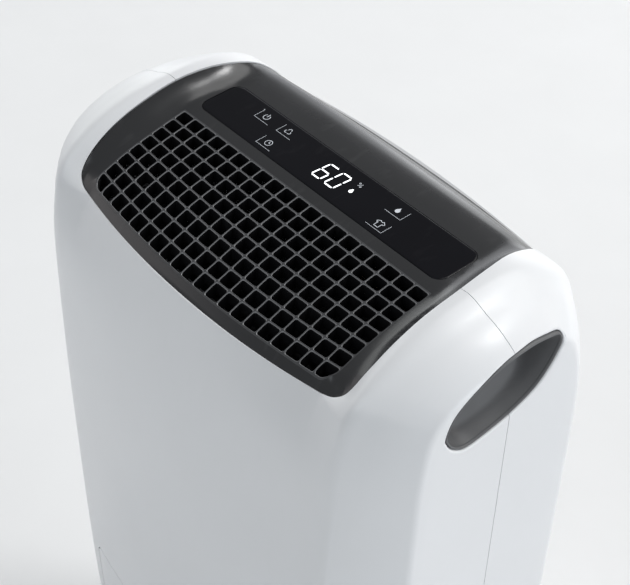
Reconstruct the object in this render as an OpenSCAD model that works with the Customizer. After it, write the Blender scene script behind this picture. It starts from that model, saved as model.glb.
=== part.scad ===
// Compact compressor dehumidifier.
// Frame: origin on the floor under the middle of the casing, front = -Y, top = +Z.

/* [Casing] */
// Height of the casing's bottom edge above the floor
case_z0 = 10; // [8:1:14]
// Half width of the side faces at floor level
side_half_low = 144; // [138:1:150]
// Half width of the side faces at the height side_ref
side_half_high = 166; // [160:1:170]
// Height at which side_half_high is measured
side_ref = 460; // [440:5:480]
// Distance from the side face in to the crease of the front and rear corners
corner_inset = 33; // [28:1:38]
// Distance from the side face in to the crease of the crown
crown_inset = 39; // [34:1:42]
// Casing wall thickness
wall = 2.6; // [2:0.2:3]

/* [Outlet grille] */
// Columns of air cells across the grille
grille_cols = 20; // [12:2:24]
// Rows of air cells, front to back
grille_rows = 8; // [4:1:10]
// Distance between the ribs that run front to back
cell_pitch = 10.8; // [10:0.1:11]
// Rib thickness
rib = 1.3; // [1:0.1:2]
// Depth of the lattice below the panel surface
grille_depth = 8; // [5:1:10]

/* [Control glass] */
// Length of the touch glass
glass_len = 211.5; // [190:0.5:212]
// Width of the touch glass, front to back
glass_wid = 29.8; // [26:0.1:31]
// Corner radius of the touch glass
glass_r = 7; // [4:0.5:10]

/* [Water tank] */
// Outside width of the tank
tank_w = 200; // [180:2:202]
// Outside depth of the tank
tank_d = 76; // [60:1:77]
// Height of the tank, without its lid
tank_h = 135; // [110:1:136]
// Tank wall thickness
tank_wall = 2; // [1.6:0.2:2.4]
// Reach of the folding bail from its pivots to the middle of its bar
bail_reach = 37; // [30:1:40]

/* [Air path] */
// Outer radius of the blower wheel
wheel_r = 70; // [60:1:71]
// Blades on the blower wheel
blades = 36; // [24:2:40]
// Height of the blower axis above the floor
fan_z = 322; // [318:1:326]
// Fins on each heat exchanger
fins = 38; // [20:1:48]
// Straight passes of each heat exchanger tube
passes = 8; // [4:2:8]

/* [Refrigerant and services] */
// Radius of the compressor shell
comp_r = 39; // [34:1:40]
// Height of the compressor's cylindrical shell
comp_h = 122; // [100:2:126]
// Radius of the refrigerant tube
tube_r = 3.5; // [3:0.1:4]
// Radius of the hole for the mains cord
cord_hole_r = 3.7; // [3:0.1:4.5]
// Outside radius of the continuous drain spigot
spigot_r = 7; // [6:0.5:8]

/* [Hidden] */

gap = 0.35;         // running gap between separate pieces
far = 400;          // long enough to cut right through the casing
white = "#eef0f2";
dark = "#3d4045";
grey = "#8d9196";
copper = "#b8734a";

// Casing profiles as [y, z] points in matching order: front bottom, up the front, over the
// top and down the back. centre_pts lie on the middle plane, edge_pts on the corner crease
// and side_pts on the border of the flat side face.
centre_pts = [[-101, case_z0], [-107.5, 150], [-105, 300], [-99.5, 380], [-95, 420], [-88, 448],
  [-79, 461], [-66, 471], [-48, 481], [-26, 488], [0, 493], [22, 495], [44, 495], [62, 490],
  [76, 477], [85, 452], [91, 410], [92, 370], [92, 280], [90, 150], [86, case_z0]];
edge_pts = [[-88, case_z0], [-93.5, 150], [-92.5, 300], [-90.3, 376], [-88.2, 425], [-83.2, 454],
  [-76, 469], [-65, 479.5], [-48, 488.5], [-26, 495.5], [-2, 499.3], [20, 500], [40, 498],
  [57, 490], [69, 475], [77, 450], [81, 412], [80.5, 370], [79, 280], [77, 150], [74, case_z0]];
side_pts = [[-57, case_z0], [-60, 150], [-60.5, 300], [-59.5, 376], [-58.4, 425], [-53.5, 449],
  [-47, 457], [-38, 463], [-26, 469.5], [-12, 476], [3, 480.5], [16, 481.5], [28, 479.5],
  [38, 473.5], [45, 463], [50, 445], [52, 410], [52, 370], [51.5, 280], [50, 150], [48, case_z0]];
smooth = 2;                          // spline steps between two profile points
top_first = 6;                       // first profile point of the crown
top_last = 14;                       // last profile point of the crown

// Height profile of the dark top panel, front lip to rear roll-over, as [y, z]
panel_pts = [[-90, 450], [-86, 454.5], [-78, 461.8], [-62.8, 468.7], [-46.3, 475.6], [-30, 480.3],
  [-14, 483.8], [2, 487], [17, 489], [32, 490.6], [46, 492], [57, 491.2], [64, 487.8], [70, 482],
  [76, 472], [82, 458]];
// Height of the panel's flared side lip at the same stations in y
lip_pts = [[-90, 448], [-80, 453], [-72, 461], [-64, 471], [-54, 478.5], [-40, 485.5], [-22, 491.5],
  [-4, 496], [23, 497.5], [36, 496.5], [50, 492.5], [60, 487], [68, 480], [74, 472], [82, 456]];
flare_x = 108;                       // the flare of the panel starts at this half width
rim_w = 123.5;                       // half width of the panel opening
panel_thick = 2.6;

// Leaf-shaped hand grip in the side face
grip_y = -3.5;
grip_z = 461;
grip_tilt = 16;
grip_half_len = 43;
grip_half_h = 18.5;
grip_floor_x = 138;
grip_wall = 2;

tank_y0 = -90;                       // front of the tank body
tank_z0 = 28.4;                      // underside of the tank
tank_top = tank_z0 + tank_h;
tank_yc = tank_y0 + tank_d / 2;
front_door_w = 105.6;                // half width of the opening for the tank
front_door_z0 = 24;
front_door_z1 = 179;
lid_t = 4;
bail_y = -50;
bail_z = 157;
bail_rise = 16;                      // the folded bar lies this far above its pivots
bail_pin_r = 2.5;
float_y = -30;
float_z = 156;

base_z0 = 4;
base_floor = 8;
coil_z0 = 204;
coil_z1 = 420;
coil_half = 78;
tray_floor = 188.1;
coil_depth = 22;
evap_y = 54;
cond_y = 27;
pass_pitch = (coil_z1 - coil_z0) / passes;
fin_t = 0.6;
comp_x = 62;
comp_y = 36;
comp_z0 = 26;
stud_ring = 52;
stud_angles = [-150, -30, 30, 150];
stud_flat = 0.5;                     // the ring of studs is narrower front to back
accu_x = 103;                        // accumulator and the suction pipe above it
rise_x = 107;                        // riser of the discharge pipe
rise_z = 177.6;                      // height of the discharge pipe's level run
grommet_z0 = base_floor;
grommet_h = 12;
wheel_y0 = -62;
wheel_len = 44;
housing_y0 = -72;
housing_y1 = -10;
duct_top = 450;
shaft_r = 4;
motor_r = 31;
spigot_x = -60;
spigot_z = 172;
gland_x = -75;
gland_z = 45;
grille_z0 = 190;
grille_z1 = 430;
grille_half = 88;
grille_back = 100;
filter_y = 93.2;
filter_t = 2.4;

// ---------- shared functions ----------

// Half width of the tapered side face at height z
function side_half(z) = side_half_low + (side_half_high - side_half_low) * z / side_ref;

// One Catmull-Rom step between b and c
function blend4(a, b, c, d, t) = 0.5 * (2 * b + (c - a) * t + (2 * a - 5 * b + 4 * c - d) * t * t
  + (3 * b - a - 3 * c + d) * t * t * t);

// Smooth curve with n steps between neighbouring points
function curve(p, n) = [for (i = [0 : len(p) - 2]) for (k = [0 : n - 1])
    blend4(p[max(i - 1, 0)], p[i], p[i + 1], p[min(i + 2, len(p) - 1)], k / n),
  p[len(p) - 1]];

// Moves an open [y, z] profile inward by t; its two ends stay at their height
function inward(p, t) = [for (i = [0 : len(p) - 1])
  let (d = p[min(i + 1, len(p) - 1)] - p[max(i - 1, 0)], u = d / norm(d))
  p[i] + t * (i == 0 ? [1, 0] : i == len(p) - 1 ? [-1, 0] : [u.y, -u.x])];

// Soft step from 0 at a to 1 at b
function soft(a, b, v) = let (t = min(max((v - a) / (b - a), 0), 1)) t * t * (3 - 2 * t);

// Inset of the crease from the side face at profile index i
function inset_at(i) = corner_inset + (crown_inset - corner_inset)
  * soft(top_first - 2, top_first + 2, i / smooth)
  * (1 - soft(top_last - 2, top_last + 2, i / smooth));

// ---------- casing skin ----------

// Closed solid bounded by the casing's outer surface moved inward by t
module casing_solid(t = 0) {
  mid = inward(curve(centre_pts, smooth), t);
  edge = inward(curve(edge_pts, smooth), t);
  side = inward(curve(side_pts, smooth), t);
  last = len(mid) - 1;
  drop = t > 0 ? 2 : 0;
  across = [-1, -0.75, -0.5, -0.25, 0, 0.25, 0.5, 0.75, 1];
  // Row of points at one station; s is the side the row lies on
  edge_row = function(f) [for (i = [0 : last])
    let (q = mid[i] + (edge[i] - mid[i]) * f * f)
    [f * (side_half(edge[i].y) - inset_at(i) - t / 2), q.x, q.y]];
  side_row = function(s) [for (i = [0 : last])
    [s * (side_half(side[i].y) - t), side[i].x, side[i].y]];
  rows = [side_row(-1), each [for (f = across) edge_row(f)], side_row(1)];
  n = last + 1;
  m = len(rows) - 1;
  points = [for (r = rows) for (i = [0 : last])
    (i == 0 || i == last) ? [r[i].x, r[i].y, r[i].z - drop] : r[i]];
  skin = [for (r = [0 : m - 1]) for (i = [0 : last - 1])
    let (a = r * n + i, b = a + n) each [[a, b + 1, b], [a, a + 1, b + 1]]];
  under = [for (r = [0 : m - 1])
    let (a = r * n, b = a + n) each [[a, b, b + last], [a, b + last, a + last]]];
  caps = [[for (i = [last : -1 : 0]) i], [for (i = [0 : last]) m * n + i]];
  polyhedron(points, concat(skin, under, caps), convexity = 8);
}

// Plan outline of the opening for the dark top panel, drawn inward by g
module rim_outline(g = 0) {
  front = [[0, -84.5], [40, -83], [80, -79], [100, -75.8], [110, -73.5], [117, -69],
    [121, -60], [rim_w, -46], [rim_w, -4], [rim_w - 2.5, 23], [rim_w - 3.5, 45], [rim_w - 5, 60],
    [rim_w - 12, 69], [90, 72.5], [45, 75.5], [0, 76.5]];
  half = curve(front, 3);
  offset(delta = -g) polygon(concat(half, [for (i = [len(half) - 2 : -1 : 1])
    [-half[i].x, half[i].y]]));
}

// Removes everything on the far side of the seam plane; s = -1 keeps the front
module seam_half(s) {
  translate([0, s * (far / 2 + gap / 4), far / 2]) cube([far, far, 2 * far], center = true);
}

module leaf(grow = 0) {
  r = (grip_half_len * grip_half_len + grip_half_h * grip_half_h) / (2 * grip_half_h);
  offset(r = 4 + grow) offset(delta = -4) intersection_for (s = [-1, 1])
    translate([0, s * (r - grip_half_h)]) circle(r, $fn = 180);
}

// Prism through one side of the casing (s = 1 right, -1 left) with the grip's outline
module grip_prism(s, grow, x0) {
  translate([s > 0 ? x0 : -x0 - far / 2, grip_y, grip_z]) rotate([grip_tilt, 0, 0])
    rotate([90, 0, 90]) linear_extrude(far / 2) leaf(grow);
}

module panel_cut() {
  translate([0, 0, 440]) linear_extrude(100) rim_outline();
}

// The skin between the outer surface and the surface one wall further in
module casing_skin() {
  difference() {
    casing_solid();
    casing_solid(wall);
  }
}

module tank_door(g) {
  translate([-front_door_w + g, -far / 2 - 30, front_door_z0 + g])
    cube([2 * (front_door_w - g), far / 2, front_door_z1 - front_door_z0 - 2 * g]);
}

module front_shell() {
  color(white) resize([0, 0, 0]) difference() {
    intersection() {
      casing_skin();
      seam_half(-1);
    }
    panel_cut();
    grip_prism(1, 0.3, 100);
    grip_prism(-1, 0.3, 100);
    tank_door(0);
  }
}

module rear_shell() {
  color(white) resize([0, 0, 0]) difference() {
    intersection() {
      casing_skin();
      seam_half(1);
    }
    panel_cut();
    grip_prism(1, 0.3, 100);
    grip_prism(-1, 0.3, 100);
    translate([-coil_half, 60, coil_z0]) cube([2 * coil_half, 60, coil_z1 - coil_z0]);
    screw_places() rotate([90, 0, 0]) cylinder(60, r = 2, $fn = 20, center = true);
    translate([spigot_x, 90, spigot_z]) rotate([90, 0, 0])
      cylinder(40, r = spigot_r + 0.5, $fn = 32, center = true);
    translate([gland_x, 90, gland_z]) rotate([90, 0, 0])
      cylinder(40, r = cord_hole_r + 2.8, $fn = 32, center = true);
  }
}

// ---------- top panel, grille and controls ----------

// z of a profile of [y, z] points at y, linear between its points
function profile_z(p, y) = lookup(y, p);

panel_curve = curve(panel_pts, 2);
lip_curve = curve(lip_pts, 2);

// Height of the dark panel's surface at x, y
function panel_z(x, y) = let (base = profile_z(panel_curve, y), lip = profile_z(lip_curve, y))
  base + (lip - base) * pow(soft(flare_x, 2 * rim_w - flare_x, abs(x)) * 2, 1.3);

// Slab of thickness t whose upper surface is the panel surface
module panel_slab(t) {
  xs = [-rim_w - 2, -rim_w + 3, -rim_w + 8, -rim_w + 12, -flare_x, -54, 0, 54, flare_x,
    rim_w - 12, rim_w - 8, rim_w - 3, rim_w + 2];
  ys = [-88, -84, -79, -72, -64, -55, -46, -37, -28, -18, -8, 3, 17, 32, 45, 54, 61, 67, 73, 78];
  nx = len(xs);
  ny = len(ys);
  n = nx * ny;
  points = [for (k = [0, 1]) for (x = xs) for (y = ys) [x, y, panel_z(x, y) - k * t]];
  top = [for (i = [0 : nx - 2]) for (j = [0 : ny - 2])
    let (a = i * ny + j, b = a + ny) each [[a, a + 1, b + 1], [a, b + 1, b]]];
  bottom = [for (f = top) [f[0] + n, f[2] + n, f[1] + n]];
  rim_x = [for (i = [0 : nx - 2]) let (a = i * ny, b = a + ny, c = a + ny - 1, d = b + ny - 1)
    each [[a, b, b + n, a + n], [c, c + n, d + n, d]]];
  rim_y = [for (j = [0 : ny - 2]) let (a = j, c = (nx - 1) * ny + j)
    each [[a, a + n, a + 1 + n, a + 1], [c, c + 1, c + 1 + n, c + n]]];
  polyhedron(points, concat(top, bottom, rim_x, rim_y), convexity = 8);
}

// Plan position of lattice node: u runs across in pitches from the middle, s counts the rows
function lattice(u, s) = let (v = 1 - pow(2 * u / grille_cols, 2),
    end_y = -71.3 + 8.45 * s - 0.025 * s * s)
  [u * cell_pitch, end_y - (7.1 - 0.9 * s) * v];

module grille_outline(g = 0) {
  half = grille_cols / 2;
  steps = [for (i = [-half : 1 : half]) i];
  offset(r = g + 9, $fn = 40) offset(delta = -9) polygon(concat([for (u = steps) lattice(u, 0)],
    [for (i = [len(steps) - 1 : -1 : 0]) lattice(steps[i], grille_rows)]));
}

module lattice_cell(k, s) {
  u = k - grille_cols / 2;
  offset(delta = -rib / 2) polygon([lattice(u, s), lattice(u + 1, s), lattice(u + 1, s + 1),
    lattice(u, s + 1)]);
}

module glass_at(lift) {
  translate([0, 17.6, 489.9]) rotate([4.4, 0, 0]) translate([0, 0, lift]) children();
}

module glass_outline(g = 0) {
  offset(r = glass_r + g, $fn = 48) square([glass_len - 2 * glass_r, glass_wid - 2 * glass_r],
    center = true);
}

module top_panel() {
  color(dark) resize([0, 0, 0]) difference() {
    intersection() {
      panel_slab(panel_thick);
      translate([0, 0, 400]) linear_extrude(200) rim_outline(gap);
    }
    translate([0, 0, 400]) linear_extrude(200) grille_outline(1.6 + gap);
    glass_at(-20) linear_extrude(40) glass_outline(gap);
  }
}

module outlet_grille() {
  color(dark) resize([0, 0, 0]) difference() {
    intersection() {
      panel_slab(grille_depth);
      translate([0, 0, 400]) linear_extrude(200) grille_outline(1.6);
    }
    translate([0, 0, 400]) linear_extrude(200) intersection() {
      grille_outline(-0.2);
      union() for (k = [0 : grille_cols - 1]) for (s = [0 : grille_rows - 1]) lattice_cell(k, s);
    }
  }
}

module control_glass() {
  color("#121316") glass_at(-3) linear_extrude(3) glass_outline();
}

module display_board() {
  color("#2f5a3a") glass_at(-9) translate([-92, -11, 0]) difference() {
    cube([184, 22, 1.6]);
    for (x = [6, 178]) translate([x, 11, -1]) cylinder(4, r = 1.7, $fn = 24);
  }
  color("#202225") for (x = [-5.5, 5.5]) glass_at(-7.4) translate([x - 5, -8, 0]) cube([10, 16, 4]);
}

// ---------- hand grips ----------

module grip(s) {
  color("#4a4d52") resize([0, 0, 0]) difference() {
    intersection() {
      casing_solid();
      grip_prism(s, 0, grip_floor_x);
    }
    grip_prism(s, -grip_wall, grip_floor_x + grip_wall);
  }
}

module grip_left() {
  grip(-1);
}

module grip_right() {
  grip(1);
}

// ---------- base ----------

// Place of a compressor mounting stud
function stud_at(a) = [comp_x + stud_ring * cos(a), comp_y + stud_ring * sin(a) * stud_flat, 0];

// Bowed edge of the base in plan, from y = mid on the middle plane to y = end at x = +-reach
function bowed(mid, end, reach) = [for (f = [-1 : 0.25 : 1]) [f * reach, mid + (end - mid) * f * f]];

// Plan outline of the base: the bottom edge of the casing drawn inward by g
module base_outline(g = 0) {
  x = side_half(case_z0) - g;
  last = len(centre_pts) - 1;
  front = bowed(centre_pts[0].x + g, edge_pts[0].x + g, x - corner_inset);
  rear = bowed(centre_pts[last].x - g, edge_pts[last].x - g, corner_inset - x);
  y0 = side_pts[0].x + g / 3;
  y1 = side_pts[last].x - g / 3;
  polygon(concat(front, [[x, y0], [x, y1]], rear, [[-x, y1], [-x, y0]]));
}

module base_tray() {
  color(grey) difference() {
    union() {
      translate([0, 0, base_z0]) linear_extrude(base_floor - base_z0) base_outline(1.5);
      difference() {
        translate([0, 0, base_floor]) linear_extrude(14) base_outline(4.5);
        translate([0, 0, base_floor]) linear_extrude(15) base_outline(7);
        translate([-front_door_w - 2, -100, base_floor]) cube([2 * front_door_w + 4, 60, 20]);
      }
      for (x = [-60, 60]) translate([x - 6, -84, base_floor])
        cube([12, 66, tank_z0 - 0.4 - base_floor]);
    }
    at_studs() cylinder(30, r = 2.5, $fn = 24);
    for (x = [-105, 105]) for (y = [-60, 48]) translate([x, y, base_z0 - 1])
      cylinder(3, r = 12.2, $fn = 48);
  }
}

module rubber_feet() {
  color("#26272a") for (x = [-105, 105]) for (y = [-60, 48]) translate([x, y, 0])
    cylinder(6, r = 12, $fn = 48);
}

module chassis_wall() {
  color("#cfd2d5") difference() {
    union() {
      translate([-128, -12.4, base_floor + 0.2]) cube([256, 2, 215.8 - base_floor]);
      translate([0, 0, 214]) linear_extrude(2.4)
        polygon([[-108, -90], [108, -90], [126, -72], [126, -12.3], [-126, -12.3], [-126, -72]]);
    }
    translate([0, -5, 194]) rotate([90, 0, 0]) cylinder(20, r = 6.5, $fn = 40);
    translate([-89, -5, 133]) cube([12, 20, 20], center = true);
  }
}

// ---------- water tank ----------

module round_rect(w, d, r) {
  hull() for (x = [-1, 1]) for (y = [-1, 1]) translate([x * (w / 2 - r), y * (d / 2 - r)])
    circle(r, $fn = 32);
}

module water_tank() {
  color([0.75, 0.85, 0.9, 0.6]) {
    difference() {
      translate([0, tank_yc, tank_z0]) linear_extrude(tank_h) round_rect(tank_w, tank_d, 10);
      translate([0, tank_yc, tank_z0 + tank_wall]) linear_extrude(tank_h)
        round_rect(tank_w - 2 * tank_wall, tank_d - 2 * tank_wall, 8);
    }
    for (s = [-1, 1]) translate([s * (tank_w / 2 - 0.1), bail_y, bail_z]) rotate([0, s * 90, 0])
      cylinder(4.6, r = bail_pin_r, $fn = 32);
  }
}

module tank_front() {
  color(white) resize([0, 0, 0]) difference() {
    union() {
      intersection() {
        casing_skin();
        tank_door(0.6);
      }
      for (x = [-70, 70]) intersection() {
        casing_solid(1);
        translate([x - 1.5, -110, front_door_z0 + 20]) cube([3, 110 + tank_y0 - 0.05, 110]);
      }
    }
    translate([0, -60, front_door_z1]) scale([1, 1, 0.28]) rotate([90, 0, 0])
      cylinder(80, r = 38, $fn = 48);
    translate([0, -60, 95]) rotate([90, 0, 0]) linear_extrude(80) round_rect(17, 77, 8.4);
  }
}

module tank_window() {
  color([0.3, 0.4, 0.45, 0.7]) resize([0, 0, 0]) intersection() {
    difference() {
      casing_solid(0.3);
      casing_solid(wall);
    }
    translate([0, -60, 95]) rotate([90, 0, 0]) linear_extrude(80) round_rect(16.4, 76.4, 8.1);
  }
}

module tank_lid() {
  color("#e3e6e8") difference() {
    union() {
      translate([0, tank_yc, tank_top]) linear_extrude(lid_t) round_rect(tank_w, tank_d, 10);
      for (x = [-94, -66]) translate([x - 1, float_y - 6, float_z - 6])
        cube([2, 12, tank_top - float_z + 6.1]);
    }
    translate([0, -26, tank_top - 1]) cylinder(lid_t + 2, r = 8, $fn = 48);
    translate([60, tank_yc - 8, tank_top - 1]) linear_extrude(lid_t + 2) round_rect(50, 24, 8);
    translate([-100, float_y, float_z]) rotate([0, 90, 0]) cylinder(40, r = 2.05, $fn = 32);
  }
}

// Folding bail of the tank, folded forward over the lid
module tank_handle() {
  fold = asin(bail_rise / bail_reach);
  color("#5b6066") translate([0, bail_y, bail_z]) rotate([-fold, 0, 0]) {
    for (s = [-1, 1]) translate([s * 102.9, 0, 0]) rotate([0, 90, 0]) difference() {
      union() {
        cylinder(3, r = 5.5, $fn = 40, center = true);
        translate([-3.5, -bail_reach, -1.5]) cube([7, bail_reach, 3]);
      }
      cylinder(5, r = bail_pin_r + 0.06, $fn = 32, center = true);
    }
    translate([-103, -bail_reach, 0]) rotate([0, 90, 0]) cylinder(206, r = 4, $fn = 32);
  }
}

module tank_float() {
  color("#f2f2ee") {
    translate([-93, float_y - 50, float_z - 36]) cube([26, 30, 20]);
    translate([-80, float_y, float_z]) {
      rotate([38, 0, 0]) translate([-3, -28, -2]) cube([6, 28, 4]);
      rotate([0, 90, 0]) cylinder(24, r = 4, $fn = 32, center = true);
      rotate([0, 90, 0]) cylinder(30, r = 2, $fn = 32, center = true);
    }
  }
}

module float_sensor() {
  color("#2a2c2f") translate([-98, -10.2, 118]) cube([18, 6, 30]);
}

// ---------- rear intake ----------

module screw_places() {
  for (x = [-82, 82]) for (z = [grille_z0 + 6, grille_z1 - 6]) translate([x, grille_back, z])
    children();
}

module intake_grille() {
  bar_pitch = 8.2;
  z_mid = (grille_z0 + grille_z1) / 2;
  color(white) difference() {
    union() {
      translate([0, grille_back, z_mid]) rotate([90, 0, 0]) linear_extrude(2.4) difference() {
        square([2 * grille_half, grille_z1 - grille_z0], center = true);
        for (i = [-9 : 9]) for (j = [-2 : 2]) translate([i * bar_pitch, j * 44])
          square([bar_pitch - 2, 41], center = true);
      }
      for (s = [-1, 1]) translate([s * (grille_half - 1.5) - 1.5, 88, grille_z0])
        cube([3, grille_back - 89, grille_z1 - grille_z0]);
      translate([-grille_half, filter_y, grille_z0]) cube([2 * grille_half, 6, 3]);
    }
    screw_places() rotate([90, 0, 0]) cylinder(30, r = 1.9, $fn = 24, center = true);
    screw_places() rotate([90, 0, 0]) cylinder(2.4, r = 3.6, $fn = 32, center = true);
  }
}

module grille_screws() {
  color("#9a9da0") screw_places() rotate([90, 0, 0]) {
    difference() {
      translate([0, 0, 0.2]) cylinder(1, r = 3.4, $fn = 32);
      cube([4, 0.8, 1.2], center = true);
    }
    translate([0, 0, 1.1]) cylinder(15, r = 1.5, $fn = 24);
  }
}

module air_filter() {
  z0 = grille_z0 + 4;
  h = grille_z1 - z0 - 2;
  color("#5b6066") translate([0, filter_y + filter_t, z0]) rotate([90, 0, 0])
    linear_extrude(filter_t) translate([0, h / 2]) difference() {
      square([150, h], center = true);
      for (x = [-1, 1]) for (j = [-1 : 1]) translate([x * 35.5, j * (h - 12) / 3])
        square([66, (h - 12) / 3 - 4], center = true);
    }
  color("#5b6066") translate([-18, filter_y, z0 + h - 0.1]) cube([36, filter_t, 8]);
}

module filter_mesh() {
  z0 = grille_z0 + 4;
  h = grille_z1 - z0 - 2;
  color("#c9cdd0") translate([0, filter_y - 0.05, z0]) rotate([90, 0, 0]) linear_extrude(0.4)
    translate([0, h / 2]) square([146, h - 8], center = true);
}

// ---------- heat exchangers ----------

function pass_z(i) = coil_z0 + pass_pitch * (i + 0.5);

module fin_block(y0) {
  for (i = [0 : fins - 1]) translate([-coil_half + 3 + i * (2 * coil_half - 6) / (fins - 1), y0, 0])
    rotate([90, 0, 90]) linear_extrude(fin_t) difference() {
      translate([0, coil_z0]) square([coil_depth, coil_z1 - coil_z0]);
      for (j = [0 : passes - 1]) translate([coil_depth / 2, pass_z(j)])
        circle(tube_r + 0.05, $fn = 32);
    }
}

// Tube that runs to and fro through the fins, joined by half rings at the ends
module serpentine(y0) {
  reach = coil_half + 6;
  translate([0, y0 + coil_depth / 2, 0]) {
    for (j = [0 : passes - 1]) translate([-reach, 0, pass_z(j)]) rotate([0, 90, 0])
      cylinder(2 * reach, r = tube_r, $fn = 32);
    for (j = [0 : passes - 2]) {
      s = j % 2 == 0 ? -1 : 1;
      translate([s * reach, 0, (pass_z(j) + pass_z(j + 1)) / 2]) rotate([90, s > 0 ? 0 : 180, 0])
        rotate([0, 0, -90]) rotate_extrude(angle = 180, $fn = 48)
          translate([pass_pitch / 2, 0]) circle(tube_r, $fn = 32);
    }
  }
}

module evaporator_fins() {
  color("#c4c8cb") fin_block(evap_y);
}

module condenser_fins() {
  color("#c4c8cb") fin_block(cond_y);
}

module evaporator_tube() {
  color(copper) serpentine(evap_y);
}

module condenser_tube() {
  color(copper) serpentine(cond_y);
}

module coil_plates() {
  color("#a6aaad") for (s = [-1, 1]) translate([s * (coil_half + 2) - 0.75, cond_y - 3, 0])
    rotate([90, 0, 90]) linear_extrude(1.5) difference() {
      translate([0, tray_floor]) square([evap_y - cond_y + coil_depth + 5, coil_z1 + 2 - tray_floor]);
      for (y = [cond_y, evap_y]) for (j = [0 : passes - 1])
        translate([y - cond_y + 3 + coil_depth / 2, pass_z(j)]) circle(tube_r + 0.05, $fn = 32);
    }
}

module drip_tray() {
  color("#d6d9dc") difference() {
    union() {
      translate([-90, 20, 186]) cube([180, 60, 15]);
      translate([0, 20.5, 194]) rotate([90, 0, 0]) cylinder(50, r = 6, $fn = 40);
    }
    translate([-88, 22, 188]) cube([176, 56, 15]);
    translate([0, 24, 194]) rotate([90, 0, 0]) cylinder(47, r = 4.5, $fn = 40);
    translate([0, -25, 194]) mirror([0, 0, 1]) cylinder(10, r = 3.5, $fn = 32);
    translate([spigot_x, 68, 184]) cylinder(6, r = 4.2, $fn = 32);
  }
}

module hose_section() {
  difference() {
    circle(5.6, $fn = 32);
    circle(4.2, $fn = 32);
  }
}

// Bent hose from the tray down and back to the drain spigot
module drain_hose() {
  color("#3a3d40") {
    translate([spigot_x, 68, spigot_z + 8]) linear_extrude(5.95) hose_section();
    translate([spigot_x, 76, spigot_z + 8]) rotate([0, 90, 0]) rotate([0, 0, -90])
      rotate_extrude(angle = 90, $fn = 48) translate([8, 0]) hose_section();
  }
}

module drain_spigot() {
  color("#d6d9dc") translate([spigot_x, 0, spigot_z]) rotate([-90, 0, 0]) difference() {
    union() {
      translate([0, 0, 76.1]) cylinder(26, r = spigot_r, $fn = 48);
      translate([0, 0, 88.6]) cylinder(2, r = spigot_r + 4, $fn = 48);
    }
    translate([0, 0, 76]) cylinder(30, r = spigot_r - 2, $fn = 48);
  }
}

// Rubber plug that closes the spigot
module drain_cap() {
  color("#26272a") translate([spigot_x, 0, spigot_z]) rotate([-90, 0, 0]) {
    translate([0, 0, 92]) cylinder(10.4, r = spigot_r - 2.1, $fn = 48);
    translate([0, 0, 102.3]) cylinder(5.2, r = spigot_r + 2, $fn = 48);
  }
}

// ---------- compressor and pipes ----------

module at_studs() {
  for (a = stud_angles) translate(stud_at(a)) children();
}

module compressor() {
  color("#2b2d30") {
    translate([comp_x, comp_y, 0]) rotate_extrude($fn = 96) intersection() {
      translate([0, comp_z0]) square([comp_r, comp_h + 24]);
      union() {
        translate([0, comp_z0 + 12]) square([comp_r, comp_h]);
        for (z = [comp_z0 + 12, comp_z0 + 12 + comp_h]) translate([0, z]) scale([1, 0.31])
          circle(comp_r, $fn = 96);
      }
    }
    difference() {
      hull() at_studs() translate([0, 0, grommet_z0 + grommet_h - 3]) cylinder(3, r = 8, $fn = 32);
      at_studs() cylinder(60, r = 4.5, $fn = 32);
    }
    translate([comp_x, comp_y, grommet_z0 + grommet_h - 1]) cylinder(12, r = 22, $fn = 64);
  }
}

module grommets() {
  color("#1d1e20") at_studs() translate([0, 0, grommet_z0]) difference() {
    union() {
      cylinder(grommet_h - 3.05, r = 7, $fn = 40);
      cylinder(grommet_h + 2, r = 4.4, $fn = 40);
      translate([0, 0, grommet_h + 0.05]) cylinder(3, r = 7, $fn = 40);
    }
    translate([0, 0, -1]) cylinder(30, r = 2.6, $fn = 32);
  }
}

module mounting_studs() {
  color("#b9bcbf") at_studs() translate([0, 0, base_z0 + 2.3]) cylinder(22, r = 2.4, $fn = 32);
}

module stud_nuts() {
  color("#b9bcbf") at_studs() translate([0, 0, grommet_z0 + grommet_h + 3.2]) difference() {
    cylinder(4, r = 4.6, $fn = 6);
    translate([0, 0, -1]) cylinder(6, r = 2.45, $fn = 32);
  }
}

module accumulator() {
  color("#2b2d30") translate([accu_x, evap_y + coil_depth / 2, 0]) rotate_extrude($fn = 48)
    polygon([[0, 50], [5, 50], [9, 55], [9, 125], [5, 130], [0, 130]]);
}

module terminal_cover() {
  color("#1a1b1d") translate([comp_x - comp_r - 11.5, comp_y - 12, 96]) cube([10.5, 24, 30]);
}

// Straight tube in the plane y = 0, from [x, z] with a run of l upward or to the right
module tube_up(x, z, l) {
  translate([x, 0, z]) cylinder(l, r = tube_r, $fn = 32);
}

module tube_across(x, z, l) {
  translate([x, 0, z]) rotate([0, 90, 0]) cylinder(l, r = tube_r, $fn = 32);
}

// Quarter bend of radius r about [x, z], starting at angle a from the x axis
module bend(x, z, r, a) {
  translate([x, 0, z]) rotate([90, 0, 0]) rotate([0, 0, a]) rotate_extrude(angle = 90, $fn = 48)
    translate([r, 0]) circle(tube_r, $fn = 32);
}

module suction_pipe() {
  r = 12;
  z = pass_z(0) - r;
  end = coil_half + 6;
  color(copper) translate([0, evap_y + coil_depth / 2, 0]) {
    tube_up(accu_x, 130.1, z - 130.1);
    bend(accu_x - r, z, r, 0);
    tube_across(end, z + r, accu_x - r - end);
  }
}

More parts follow.
